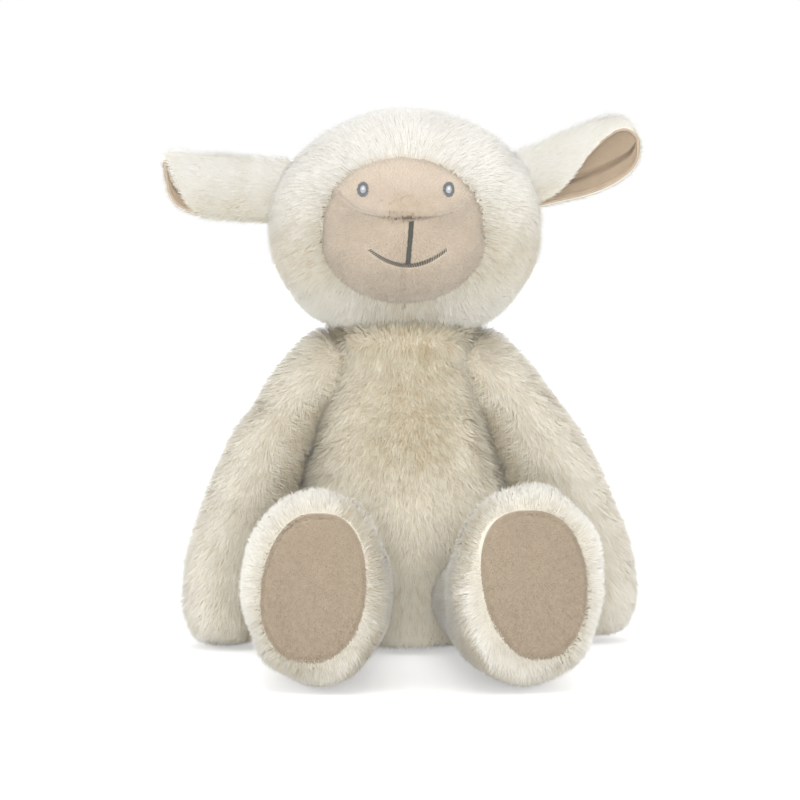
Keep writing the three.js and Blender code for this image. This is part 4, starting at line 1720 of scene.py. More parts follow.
    def build(self, finishes: Finishes, sockets: list[Socket], face: "Face") -> None:
        """Makes the cover, its pile and the filling.

        Args:
            finishes: all the finishes.
            sockets: the dimples that other parts sit in.
            face: the face, whose rim the pile keeps to.
        """
        base = self.surface().moved(-self.pile_depth)
        cloth = face.cleared(base)
        cover = add_cover("head", pressed(cloth, sockets), finishes.white_backing, "white_plush")
        fleece = self.fleece(base, sockets, face)
        angle = np.arctan2(fleece.roots[:, 0], fleece.roots[:, 1])
        grow_all("head", fleece, angle, 3, PLUSH_HEAD, Seed.HEAD_PILE, finishes.head_pile, "white_plush")
        add_filling("head", cloth, sockets, Seed.HEAD_FILLING, finishes)


@dataclass(frozen=True)
class Panel:
    """Which part of the face a panel covers: start and end are shares of the seam's half length."""

    node: str
    start: float
    end: float
    upper: bool
    rows: int
    columns: int


@dataclass
class Face:
    """The velour face in three panels with its embroidery."""

    head: Head
    centre_x: float = -1.0
    centre_height: float = 194.4
    half_width: float = 36.2
    upper_half: float = 32.6
    lower_half: float = 30.6
    upper_taper: float = 0.98
    recess: float = 3.4
    muzzle_height: float = 185.5
    muzzle_half_width: float = 38.0
    muzzle_half_height: float = 25.0
    muzzle_bulge: float = 14.0
    muzzle_round: float = 0.75
    muzzle_upper_half: float = 35.0
    muzzle_upper_round: float = 1.7
    puff: float = 0.5
    seam_height: float = 200.4
    seam_middle: float = 0.3
    seam_rise: float = 11.0
    seam_spread: float = 30.0
    seam_power: float = 3.4
    seam_furthest: float = 1.15
    seam_width: Hill = Hill(0.0, 27.0, 4.0)
    seam_groove: float = 0.5
    groove_form: Hill = Hill(0.0, 0.8)
    upper_puff: Hill = Hill(5.5, 4.5)
    lower_puff: Hill = Hill(-4.0, 3.5)
    lower_puff_share: float = 0.6
    pucker: float = 0.1
    pucker_near: Hill = Hill(0.0, 6.5, 1.4)
    pucker_width: Hill = Hill(0.0, 24.0)
    pucker_count: float = 16.0
    pucker_root: float = 9.0  # how far off the seam the puckers' fan starts
    pucker_drift: float = 0.7
    pucker_wave: float = 0.37
    lower_pucker_share: float = 0.7
    middle_seam: Hill = Hill(0.0, 1.0)
    middle_seam_depth: float = 0.7
    middle_seam_start: Step = Step(-2.0, 3.0)
    rim_tuck: float = 2.0
    rim_form: Hill = Hill(0.0, 1.4, 1.0)
    softness: float = 0.2
    softness_size: float = 15.0
    softness_from: Step = Step(1.0, 8.0)
    muzzle_blend: Step = Step(0.0, 18.0)
    panels: tuple = (
        Panel("face_forehead", -1.0, 1.0, True, 64, 100),
        Panel("face_muzzle_left", -1.0, 0.0, False, 70, 60),
        Panel("face_muzzle_right", 0.0, 1.0, False, 70, 60),
    )
    panel_grow: float = 2.0
    panel_power: float = 0.85
    thickness: float = 1.2
    cover_gap: float = 4.5
    eye_spacing: float = 38.0
    eye_height: float = 213.0
    eye_half_width: float = 2.75
    eye_half_height: float = 3.55
    eye_clear: float = 1.05
    eye_shift: float = 0.5
    nose_lean: float = 1.6
    eye_stitches: int = 46
    eye_chance: float = 0.02
    eye_hollow: float = 0.44
    eye_ragged: float = 0.03
    eye_stitch: tuple = (0.55, 0.24)  # how high a stitch stands, and its thread's radius
    eye_middle_shares: tuple = (0.62, 0.55)
    eye_middle_reach: float = 0.8
    eye_middle_slant: float = 0.25
    eye_middle_stitch: tuple = (0.4, 0.2)
    glint_spots: tuple = ((-0.35, 0.5), (0.0, 0.6), (0.35, 0.5))
    glint_down: float = 0.9
    glint_up: float = 0.5
    glint_stitch: tuple = (0.62, 0.2)
    line_wobble: float = 0.07
    nose_slant: float = 0.12
    nose_stitch: tuple = (0.7, 0.3)
    nose_margin: float = 1.0
    mouth_slant: float = 0.55
    mouth_thin: float = 0.35
    mouth_stitch: tuple = (0.55, 0.26)
    mouth_margin: tuple = (0.5, 0.2)  # clear of pile beside and above the line
    chin_angles: tuple = (0.2, 0.9, 1.6, 2.3, 2.9)
    chin_sunk: float = 1.0
    chin_wider: float = 0.3
    chin_arch: float = 0.9
    chin_stack: float = 0.12  # each stitch stands this much in front of the one before
    chin_thread: float = 0.4
    nose_top: float = 198.6
    nose_bottom: float = 180.0
    nose_half_width: float = 1.3
    mouth_middle: float = 1.2
    mouth_half_width: float = 17.0
    mouth_low: float = 179.25
    mouth_rise: float = 6.8
    mouth_half_line: float = 1.2
    chin_lift: float = 4.2
    seam_close: Hill = Hill(0.0, 2.2)
    outward_weight: float = 0.6
    sink: tuple = (0.0, 0.0, -0.3)
    rising_chance: float = 0.35
    rising_gap: float = 2.5
    rising_middle: float = 1.0
    rising_comb: tuple = (0.0, -0.3, 1.0)
    seam_gain: float = 1.1
    seam_lean: float = 0.6
    muzzle_middle: Hill = Hill(0.0, 14.0)
    muzzle_middle_height: Hill = Hill(190.0, 14.0)
    cheek: Step = Step(18.0, 30.0)
    cheek_height: Step = Step(192.0, 178.0)
    # tones of the muzzle's pile: painted light under the seam, painted shade in its middle and on its lower
    # sides
    plain_tone: float = 0.62
    seam_painted_light: float = 0.45
    middle_painted_shade: float = 0.46
    cheek_painted_shade: float = 0.3

    def outline(self, angle: Array, grow: float = 0.0) -> tuple[Array, Array]:
        """The rim: an oval whose upper half narrows by a power of the cosine.

        Args:
            angle: angles round the middle.
            grow: how much larger than the outline itself.

        Returns:
            Places across and heights.
        """
        cos, sin = np.cos(angle), np.sin(angle)
        taper = np.where(sin > 0, self.upper_taper, 1.0)
        x = self.centre_x + (self.half_width + grow) * np.sign(cos) * np.abs(cos) ** taper
        z = self.centre_height + (np.where(sin > 0, self.upper_half, self.lower_half) + grow) * sin
        return x, z

    def rim_distance(self, places: Array) -> tuple[Array, Array]:
        """How far places lie outside the rim, seen from the front, and the way straight out.

        Args:
            places: places, one per row.

        Returns:
            The distances and the directions.
        """
        angle = np.linspace(0, FULL_TURN, RIM_PLACES)
        rim_x, rim_z = self.outline(angle)
        best = np.full(len(places), np.inf)
        for x, z in zip(rim_x, rim_z):
            best = np.minimum(best, (places[:, 0] - x) ** 2 + (places[:, 2] - z) ** 2)
        distance = np.sqrt(best)
        across = places[:, 0] - self.centre_x
        rise = places[:, 2] - self.centre_height
        half = np.where(rise > 0, self.upper_half, self.lower_half)
        high = np.clip(rise / half, -1, 1)
        cos = np.sqrt(1 - high**2)
        reach = self.half_width * cos ** np.where(rise > 0, self.upper_taper, 1.0)
        inside = (np.abs(across) < reach) & (np.abs(rise) < half)
        outward = unit(np.stack([across, np.zeros_like(across), rise], axis=1))
        return np.where(inside, -distance, distance), outward

    def seam_z(self, x: Array) -> Array:
        """Height of the seam across the nose: it rises as a power of the way from the nose."""
        away = np.abs(x - self.seam_middle) / self.seam_spread
        return self.seam_height + self.seam_rise * np.minimum(self.seam_furthest, away) ** self.seam_power

    def front(self, x: Array, z: Array) -> Array:
        """How far forward the cloth lies: the head's surface less the recess, plus the muzzle's bulge.

        Args:
            x: places across.
            z: heights.

        Returns:
            The place along Y.
        """
        share = self.head.share_at(z)
        across = np.maximum(0.0, 1 - (x / (self.head.half_width * np.maximum(share, NO_SHARE))) ** 2)
        plain = self.head.front_depth * share * np.sqrt(across) - self.recess
        rise = z - self.muzzle_height
        half = np.where(rise > 0, self.muzzle_upper_half, self.muzzle_half_height)
        reach = ((x - self.centre_x) / self.muzzle_half_width) ** 2 + (rise / half) ** 2
        power = self.muzzle_round + (self.muzzle_upper_round - self.muzzle_round) * self.muzzle_blend.of(rise)
        return plain + self.muzzle_bulge * np.maximum(0.0, 1 - reach) ** power

    def detail(self, x: Array, z: Array) -> Array:
        """Height added to the plain form: seams, puckers from the nose, a turned-in rim, softness.

        Args:
            x: places across.
            z: heights.

        Returns:
            The added height.
        """
        off = z - self.seam_z(x)
        across = x - self.centre_x
        puff = self.upper_puff.of(off) + self.lower_puff_share * self.lower_puff.of(off)
        seam = self.puff * self.seam_width.of(across) * puff - self.seam_groove * self.groove_form.of(off)
        fan = np.arctan2(across, np.abs(off) + self.pucker_root)
        folds = np.sin(fan * self.pucker_count + self.pucker_drift * np.sin(across * self.pucker_wave))
        folds *= self.pucker * self.pucker_near.of(off) * self.pucker_width.of(across)
        folds *= np.where(off > 0, 1.0, self.lower_pucker_share)
        middle = -self.middle_seam_depth * self.middle_seam.of(across)
        middle *= self.middle_seam_start.of(self.mouth_low - z)
        flat = np.stack([x.ravel(), np.zeros(x.size), z.ravel()], axis=1)
        inside = -self.rim_distance(flat)[0].reshape(x.shape)
        tuck = -self.rim_tuck * self.rim_form.of(np.maximum(0.0, inside))
        soft = wander(flat, self.softness_size, Seed.FACE_SOFTNESS)[:, 0].reshape(x.shape)
        return seam + folds + middle + tuck + self.softness * soft * self.softness_from.of(inside)

    def cleared(self, grid: Grid) -> Grid:
        """The head's cover, moved back where it would stand through the face.

        Args:
            grid: the surface.

        Returns:
            The cover behind the face.
        """
        points = grid.points.copy()
        flat = points.reshape(-1, 3)
        rim, _ = self.rim_distance(flat)
        rim = rim.reshape(points.shape[:2])
        deepest = -(self.front(points[..., 0], points[..., 2]) - self.cover_gap)
        inside = (rim < 0) & (points[..., 1] < 0)
        points[..., 1] = np.where(inside, np.maximum(points[..., 1], deepest), points[..., 1])
        return Grid(points, grid.wrap)

    def place(self, x: Array, z: Array, lift: float = 0.0) -> Array:
        """Points of the cloth at x and z, with a lift off it."""
        y = -(self.front(x, z) + self.detail(x, z) + lift)
        return np.stack([x, y, z], axis=-1)

    def panel_grid(self, panel: Panel) -> Grid:
        """A panel between the nose seam and the rim.

        Column u runs from the panel's start to its end, and row v from the seam to the rim, along
        the straight line between the two in x and z.

        Args:
            panel: which part of the face it covers.

        Returns:
            The panel's surface, facing forwards.
        """
        left = self.seam_end(-1.0)
        right = self.seam_end(1.0)
        share = np.linspace(panel.start, panel.end, panel.columns)[None, :]
        place = (share + 1) / 2
        seam_x = left[0] + (right[0] - left[0]) * place
        seam_z = self.seam_z(seam_x)
        if panel.upper:
            angle = left[1] + (right[1] - left[1]) * place
        else:
            angle = left[1] + (right[1] + FULL_TURN - left[1]) * place
        rim_x, rim_z = self.outline(angle, self.panel_grow)
        down = np.linspace(0, 1, panel.rows)[:, None] ** self.panel_power
        x = seam_x + (rim_x - seam_x) * down
        z = seam_z + (rim_z - seam_z) * down
        grid = Grid(self.place(x, z), wrap=False)
        return grid if grid.normals[..., 1].mean() < 0 else grid.flipped()

    def seam_end(self, side: float) -> tuple[float, float]:
        """Where the nose seam meets the rim: its x and its angle round the rim.

        Args:
            side: which side.

        Returns:
            The place across and the angle.
        """
        angle = np.linspace(0, math.pi / 2, SEAM_SEARCH)
        if side < 0:
            angle = math.pi - angle
        x, z = self.outline(angle)
        best = int(np.argmin(np.abs(z - self.seam_z(x))))
        return float(x[best]), float(angle[best])

    def fleece(self, grid: Grid, upper: bool, seed: int) -> Fleece:
        """A panel's pile: it fans out from the nose, and under the seam many fibres rise over it.

        Args:
            grid: the surface.
            upper: whether it is the forehead.
            seed: the random seed.

        Returns:
            The fleece.
        """
        roots, normals = grid.roots(VELOUR.density, np.random.default_rng(seed))
        x, y, z = roots.T
        clear = self.stitch_clearance(roots)
        outward = unit(roots - np.array([self.centre_x, y.mean(), self.seam_height]))
        close = self.seam_close.of(z - self.seam_z(x))
        comb = outward * self.outward_weight + np.array(self.sink)
        if not upper:
            rising = close * np.random.default_rng(Seed.MUZZLE_RISING).random(len(roots)) > self.rising_chance
            rising &= np.abs(x - self.rising_middle) > self.rising_gap
            comb = np.where(rising[:, None], np.array(self.rising_comb), comb)
        fleece = Fleece(roots, normals, comb, 1 + self.seam_gain * close, 1 - self.seam_lean * close)
        if not upper:
            # painted light under the seam; painted shade in the muzzle's middle and on its lower sides
            middle = self.muzzle_middle.of(x) * self.muzzle_middle_height.of(z)
            cheek = self.cheek.of(np.abs(x)) * self.cheek_height.of(z)
            tone = self.plain_tone + self.seam_painted_light * close
            fleece.light = tone - self.middle_painted_shade * middle - self.cheek_painted_shade * cheek
        return fleece.kept(clear)

    def build(self, finishes: Finishes) -> None:
        """Makes the panels, their pile and the embroidery.

        Args:
            finishes: all the finishes.
        """
        fleeces = []
        for number, panel in enumerate(self.panels):
            grid = self.panel_grid(panel)
            piece = closed_sheet(f"{panel.node}_panel", grid, grid.points - grid.normals * self.thickness)
            dress(piece, finishes.velour, "head", "beige_velour", panel.node)
            fleeces.append(self.fleece(grid, panel.upper, Seed.FACE_ROOTS + number))
        for panel, fleece in zip(self.panels, fleeces):
            finish = finishes.forehead_pile if panel.upper else finishes.muzzle_pile
            dress(fleece.grow(f"{panel.node}_pile", VELOUR, Seed.FACE_PILE), finish, "head", "beige_velour")
        self.build_eyes(finishes)
        self.build_lines(finishes)
        self.build_chin(finishes)

    def stitch_clearance(self, roots: Array) -> Array:
        """Which roots lie clear of the embroidery.

        Args:
            roots: the fibres' roots.

        Returns:
            True for each root that is clear.
        """
        x, z = roots[:, 0], roots[:, 2]
        nose = np.abs(x - self.nose_x(z)) < self.nose_half_width
        nose &= (z < self.nose_top) & (z > self.nose_bottom - self.nose_margin)
        beside, above = self.mouth_margin
        mouth = np.abs(x - self.mouth_middle) < self.mouth_half_width + beside
        mouth &= np.abs(z - self.mouth_height(x)) < self.mouth_half_line + above
        clear = ~(nose | mouth)
        for side in Side:
            across = (x - self.eye_x(side)) / self.eye_half_width
            rise = (z - self.eye_height) / self.eye_half_height
            clear &= across**2 + rise**2 > self.eye_clear
        return clear

    def nose_x(self, z: Array) -> Array:
        """Middle of the nose line at a height."""
        share = (z - self.nose_bottom) / (self.nose_top - self.nose_bottom)
        return self.mouth_middle + self.nose_lean * share

    def eye_x(self, side: Side) -> float:
        """Middle of an eye across."""
        shift = self.eye_shift * self.mouth_middle * (side is Side.RIGHT)
        return side.value * self.eye_spacing / 2 + shift

    def mouth_height(self, x: Array) -> Array:
        """Height of the smile: it rises as a power of the way from the middle."""
        away = np.abs(x - self.mouth_middle) / self.mouth_half_width
        return self.mouth_low + self.mouth_rise * np.minimum(1.0, away) ** 2

    def stitches(self, name: str, start: Array, end: Array, lift: float, radius: float) -> bpy.types.Object:
        """Arched stitches between pairs of (x, z) points, lying on the cloth.

        Args:
            name: the piece's name.
            start: (n, 2) first ends.
            end: (n, 2) second ends.
            lift: how high the middle of a stitch stands.
            radius: the thread's radius.

        Returns:
            The piece.
        """
        share = np.linspace(0, 1, STITCH_STEPS)[None, :, None]
        flat = start[:, None] * (1 - share) + end[:, None] * share
        points = self.place(flat[..., 0], flat[..., 1])
        arch = lift * (1 - (2 * share[..., 0] - 1) ** 4)
        points[..., 1] -= arch
        return many_tubes(name, points, radius)

    def build_eyes(self, finishes: Finishes) -> None:
        """Each eye is a ring of stitches that point to its middle, round a paler middle.

        Args:
            finishes: all the finishes.
        """
        rng = np.random.default_rng(Seed.EYES)
        count = self.eye_stitches
        for side in Side:
            middle = np.array([self.eye_x(side), self.eye_height])
            angle = np.linspace(0, FULL_TURN, count, endpoint=False)
            angle = angle + rng.normal(size=count) * self.eye_chance
            heading = np.stack([np.cos(angle), np.sin(angle)], axis=1)
            size = np.array([self.eye_half_width, self.eye_half_height])
            outer = middle + heading * size * (1 + self.eye_ragged * rng.normal(size=(count, 1)))
            inner = middle + heading * size * self.eye_hollow
            ring = self.stitches(f"eye_{side.word}_ring", outer, inner, *self.eye_stitch)
            dress(ring, finishes.eye_thread, "head", "eye_thread", f"eye_{side.word}")
            self.build_eye_middle(finishes, side, middle)

    def build_eye_middle(self, finishes: Finishes, side: Side, middle: Array) -> None:
        """The paler middle of an eye: rows of slanting stitches and a glint of three.

        Args:
            finishes: all the finishes.
            side: which eye.
            middle: its middle, as x and height.
        """
        rows = np.linspace(-self.eye_middle_reach, self.eye_middle_reach, EYE_MIDDLE_ROWS)
        wide, high = self.eye_middle_shares
        width = np.sqrt(1 - rows**2) * self.eye_half_width * wide
        height = rows * self.eye_half_height * high
        start = middle + np.stack([-width, height - self.eye_middle_slant], axis=1)
        end = middle + np.stack([width, height + self.eye_middle_slant], axis=1)
        centre = self.stitches(f"eye_{side.word}_middle", start, end, *self.eye_middle_stitch)
        dress(centre, finishes.pale_thread, "head", "eye_thread")
        spots = middle + np.array(self.glint_spots)
        start, end = spots - [0.0, self.glint_down], spots + [0.0, self.glint_up]
        glint = self.stitches(f"eye_{side.word}_glint", start, end, *self.glint_stitch)
        dress(glint, finishes.white_thread, "head", "eye_thread")

    def build_lines(self, finishes: Finishes) -> None:
        """The nose line is packed stitches across it, and the mouth is slanting stitches along it.

        Args:
            finishes: all the finishes.
        """
        rng = np.random.default_rng(Seed.LINES)
        z = np.linspace(self.nose_top, self.nose_bottom, NOSE_STITCHES)
        wobble = self.line_wobble * rng.normal(size=(2, len(z)))
        middle, half = self.nose_x(z), self.nose_half_width
        start = np.stack([middle - half + wobble[0], z - self.nose_slant], axis=1)
        end = np.stack([middle + half + wobble[1], z + self.nose_slant], axis=1)
        line = self.stitches("nose_line_stitches", start, end, *self.nose_stitch)
        dress(line, finishes.grey_thread, "head", "grey_thread", "nose_line")
        share = np.linspace(-1, 1, MOUTH_STITCHES)
        x = self.mouth_middle + share * self.mouth_half_width
        height = self.mouth_height(x)
        slope = np.gradient(height, x)
        ahead = unit(np.stack([np.ones_like(x), slope], axis=1))
        aside = np.stack([-ahead[:, 1], ahead[:, 0]], axis=1)
        middle = np.stack([x, height], axis=1)
        half = self.mouth_half_line * (1 - self.mouth_thin * np.abs(share) ** 3)[:, None]
        start = middle - ahead * self.mouth_slant - aside * half
        end = middle + ahead * self.mouth_slant + aside * half
        mouth = self.stitches("mouth_stitches", start, end, *self.mouth_stitch)
        dress(mouth, finishes.grey_thread, "head", "grey_thread", "mouth_line")

    def build_chin(self, finishes: Finishes) -> None:
        """The chin tack is a small knot of crossed stitches where the panels end.

        Args:
            finishes: all the finishes.
        """
        low, high = (np.array(corner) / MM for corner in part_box("chin_tack"))
        middle = (low + high) / 2 + np.array([0.0, 0.0, self.chin_lift])
        front = self.chin_sunk - self.head.front_depth * float(self.head.share_at(middle[2]))
        angle = np.array(self.chin_angles)
        reach = (high[0] - low[0]) / 2 + self.chin_wider
        heading = np.stack([np.cos(angle), np.zeros_like(angle), np.sin(angle)], axis=1) * reach
        share = np.linspace(-1, 1, STITCH_STEPS)[None, :, None]
        paths = middle + heading[:, None] * share
        paths[..., 1] = front + self.chin_arch * share[..., 0] ** 2 + self.chin_stack * np.arange(5)[:, None]
        knot = many_tubes("chin_stitches", paths, self.chin_thread)
        dress(knot, finishes.cream_thread, "head", "cream_thread", "chin_tack")


@dataclass
class Ear:
    """An ear sewn from plush and velour, folded lengthwise with the velour inside."""

    side: Side
    pivot: tuple = (54.0, 2.0, 215.0)
    length: float = 62.0
    half_height: float = 16.5
    half_thickness: float = 7.0
    pile_depth: float = 2.6
    sheet: float = 1.1
    raise_angle: float = 0.0
    ring_shares: tuple = (
        (0.0, 0.95),
        (0.14, 0.94),
        (0.28, 0.95),
        (0.42, 0.98),
        (0.6, 1.0),
        (0.78, 0.96),
        (0.91, 0.82),
        (0.975, 0.52),
    )
    flap_start: float = -0.1
    flap_end: float = 1.0
    flap_low: float = -66.0
    flap_high: float = 40.0
    edge_radius: float = 0.75
    trim_from: float = 0.0
    tip_lift: float = 0.0
    belly: float = 0.0
    tip_thin: float = 0.0
    root_swell: float = 0.0
    crease_angle: float = math.radians(212)
    crease_width: float = math.radians(6)
    crease_depth: float = 2.3
    socket_radius: float = 12.0
    root_share: float = 0.1  # how far the first ring lies behind the root
    tip_size: float = 0.01
    swell_to: Step = Step(0.0, 0.7)
    drawn_from: Step = Step(0.8, 1.0)
    back_angle: float = math.radians(266.0)  # of the low edge behind the ear
    thinnest_share: float = 0.12
    lowest_share: float = 0.25
    edge_inset: float = 0.8
    tip_from: Step = Step(0.6, 0.95)
    lift_from: Step = Step(0.5, 0.9)
    lift_limit: float = 0.55
    end_inset: float = 0.35
    rim_near: Step = Step(0.5, 7.0)
    rim_loss: float = 0.45
    rim_lean: float = 0.15
    trim_blend: float = 0.1
    # tones of the pile: painted shade on the ear's lower part, lighter upwards
    shaded_low_tone: float = 0.25
    light_gain: float = 0.6
    light_height: Step = Step(-14.0, 12.0)

    def socket(self) -> Socket:
        """The dimple in the head that the root sits in."""
        return Socket((self.side.value * self.pivot[0], self.pivot[1], self.pivot[2]), self.socket_radius)

    def flap_angle(self, share: Array) -> Array:
        """Angle of the front flap's edge round the section: from the low edge up to the fold."""
        turned_share = smooth(share, self.flap_start, self.flap_end)
        return np.radians(self.flap_low + (self.flap_high - self.flap_low) * turned_share)

    def layer(self, inset: float) -> Grid:
        """A layer of the folded sheet.

        Row e goes along the ear and column a round an oval section, from the front flap's edge
        over the fold at the top and down the back to the low edge. The section's half sizes are
        the ear's less the inset.

        Args:
            inset: how far inside the pile's outer surface the layer lies.

        Returns:
            The layer, its outer side away from the fold.
        """
        rows, columns = EAR_GRID
        rings = spline_rows(self.table(), rows)
        along, size = rings[:, :1], rings[:, 1:2] / self.half_height
        share = along / self.length
        turn = np.linspace(0, 1, columns)[None, :]
        first = self.flap_angle(share)
        angle = first + (self.back_angle - first) * turn
        inner = inset * (self.edge_inset + (1 - self.edge_inset) * size)
        height = self.half_height * size
        height = np.maximum(height - inner, self.lowest_share * height)
        thick = self.half_thickness * size * (1 - self.tip_thin * self.tip_from.of(share))
        depth = np.maximum(thick - inner, self.thinnest_share * thick)
        crease = self.crease_depth * np.exp(-(((angle - self.crease_angle) / self.crease_width) ** 2))
        forward = depth * np.cos(angle) - crease * smooth(inset, 0.0, self.pile_depth + 2 * self.sheet)
        belly = self.belly * np.sin(math.pi * np.clip(share, 0.0, 1.0))
        height = height * (1 + np.where(np.sin(angle) < 0, belly, 0.0))
        height = height * (1 + self.root_swell * (1 - self.swell_to.of(share)))
        lift = self.tip_lift * self.half_height * np.minimum(1 - size, self.lift_limit)
        up = height * np.sin(angle) + lift * self.lift_from.of(share)
        drawn = along - self.end_inset * inset * self.drawn_from.of(share)
        return self.placed(np.broadcast_to(drawn, up.shape), forward, up)

    def table(self) -> Array:
        """Rows of distance and half height for the smooth outline, with a mirrored ring past the tip.

        Returns:
            The rows.
        """
        rows = [(share * self.length, size * self.half_height) for share, size in self.ring_shares]
        first = (-self.root_share * self.length, rows[0][1])
        last = (rows[-1][0], -rows[-1][1])
        return np.array([first, *rows, (self.length, self.tip_size), last])

    def placed(self, along: Array, forward: Array, up: Array) -> Grid:
        """Puts ear coordinates on the head.

        Args:
            along: distances from the root to the tip.
            forward: distances forwards.
            up: distances upwards.

        Returns:
            The surface in its place.
        """
        side = self.side.value
        cos, sin = math.cos(self.raise_angle), math.sin(self.raise_angle)
        x = side * self.pivot[0] + side * (along * cos - up * sin)
        y = self.pivot[1] - forward
        z = self.pivot[2] + along * sin + up * cos
        grid = Grid(np.stack([x, y, z], axis=-1), wrap=False)
        middle = grid.points.mean(axis=(0, 1))
        facing = ((grid.points - middle) * grid.normals).sum(axis=-1).mean()
        return grid if facing > 0 else grid.flipped()

    def build(self, finishes: Finishes) -> None:
        """Makes the plush sheet with its pile and the velour lining with its pile.

        Args:
            finishes: all the finishes.
        """
        word, body = self.side.word, f"ear_{self.side.word}"
        outer = self.layer(self.pile_depth)
        middle = self.layer(self.pile_depth + self.sheet)
        inner = self.layer(self.pile_depth + 2 * self.sheet)
        plush = closed_sheet(f"ear_{word}_cover", outer, middle.points)
        dress(plush, finishes.white_backing, body, "white_plush", f"ear_{word}_plush")
        lining = closed_sheet(f"ear_{word}_lining_cloth", Grid(middle.points, False), inner.points)
        dress(lining, finishes.lining, body, "beige_velour", f"ear_{word}_lining")
        self.build_edge(finishes, outer, inner, body)
        rng = np.random.default_rng(Seed.EAR_ROOTS + self.side.value)
        pile = self.plush_fleece(outer, rng).grow(f"ear_{word}_pile", PLUSH_EAR, Seed.EAR_PILE)
        dress(pile, finishes.ear_pile, body, "white_plush")
        fleece = even_fleece(inner.flipped(), VELOUR.density, self.ahead(), rng)
        pile = fleece.grow(f"ear_{word}_lining_pile", VELOUR, Seed.EAR_LINING_PILE)
        dress(pile, finishes.lining_pile, body, "beige_velour")

    def ahead(self) -> Array:
        """The heading from the root to the tip."""
        return np.array([self.side.value * math.cos(self.raise_angle), 0.0, math.sin(self.raise_angle)])

    def plush_fleece(self, outer: Grid, rng: np.random.Generator) -> Fleece:
        """The plush's pile: it lies towards the tip, shorter along the open edge, with painted shade on its
        lower part.

        Args:
            outer: the plush surface.
            rng: the source of chance.

        Returns:
            The fleece.
        """
        roots, normals = outer.roots(PLUSH_EAR.density, rng)
        ahead, rim = self.ahead(), self.rim(outer.points)
        away = np.min([np.linalg.norm(roots - point, axis=1) for point in rim[::EAR_RIM_STRIDE]], axis=0)
        along = ((roots - rim[0]) * ahead).sum(axis=1) / self.length
        near = 1 - self.rim_near.of(away)
        near = near * smooth(along, self.trim_from - self.trim_blend, self.trim_from + self.trim_blend)
        comb = np.broadcast_to(ahead, roots.shape)
        # painted shade: the tone falls towards the ear's lower part
        light = self.shaded_low_tone + self.light_gain * self.light_height.of(roots[:, 2] - self.pivot[2])
        return Fleece(roots, normals, comb, 1 - self.rim_loss * near, 1 + self.rim_lean * near, light)

    @staticmethod
    def rim(points: Array) -> Array:
        """The open edge of a layer: along the flap, round the tip and back along the low edge."""
        return np.concatenate([points[:-1, 0], points[-1, :], points[-2::-1, -1]])

    def build_edge(self, finishes: Finishes, outer: Grid, inner: Grid, body: str) -> None:
        """The turned edge where the two cloths are sewn together, with a nap like the lining's.

        Args:
            finishes: all the finishes.
            outer: the plush surface.
            inner: the lining's surface.
            body: the body that it moves with.
        """
        path = (self.rim(outer.points) + self.rim(inner.points)) / 2
        kernel = np.ones(EAR_EDGE_AVERAGE) / EAR_EDGE_AVERAGE
        margin = EAR_EDGE_AVERAGE // 2
        padded = np.pad(path, ((margin, margin), (0, 0)), mode="edge")
        path = np.stack([np.convolve(padded[:, k], kernel, mode="valid") for k in range(3)], axis=1)
        grid = tube_along(path, self.edge_radius, EAR_EDGE_SIDES)
        facing = ((grid.points - path[:, None]) * grid.normals).sum(axis=-1).mean()
        grid = grid if facing > 0 else grid.flipped()
        edge = closed_tube(f"ear_{self.side.word}_turned_edge", grid)
        dress(edge, finishes.lining, body, "beige_velour")


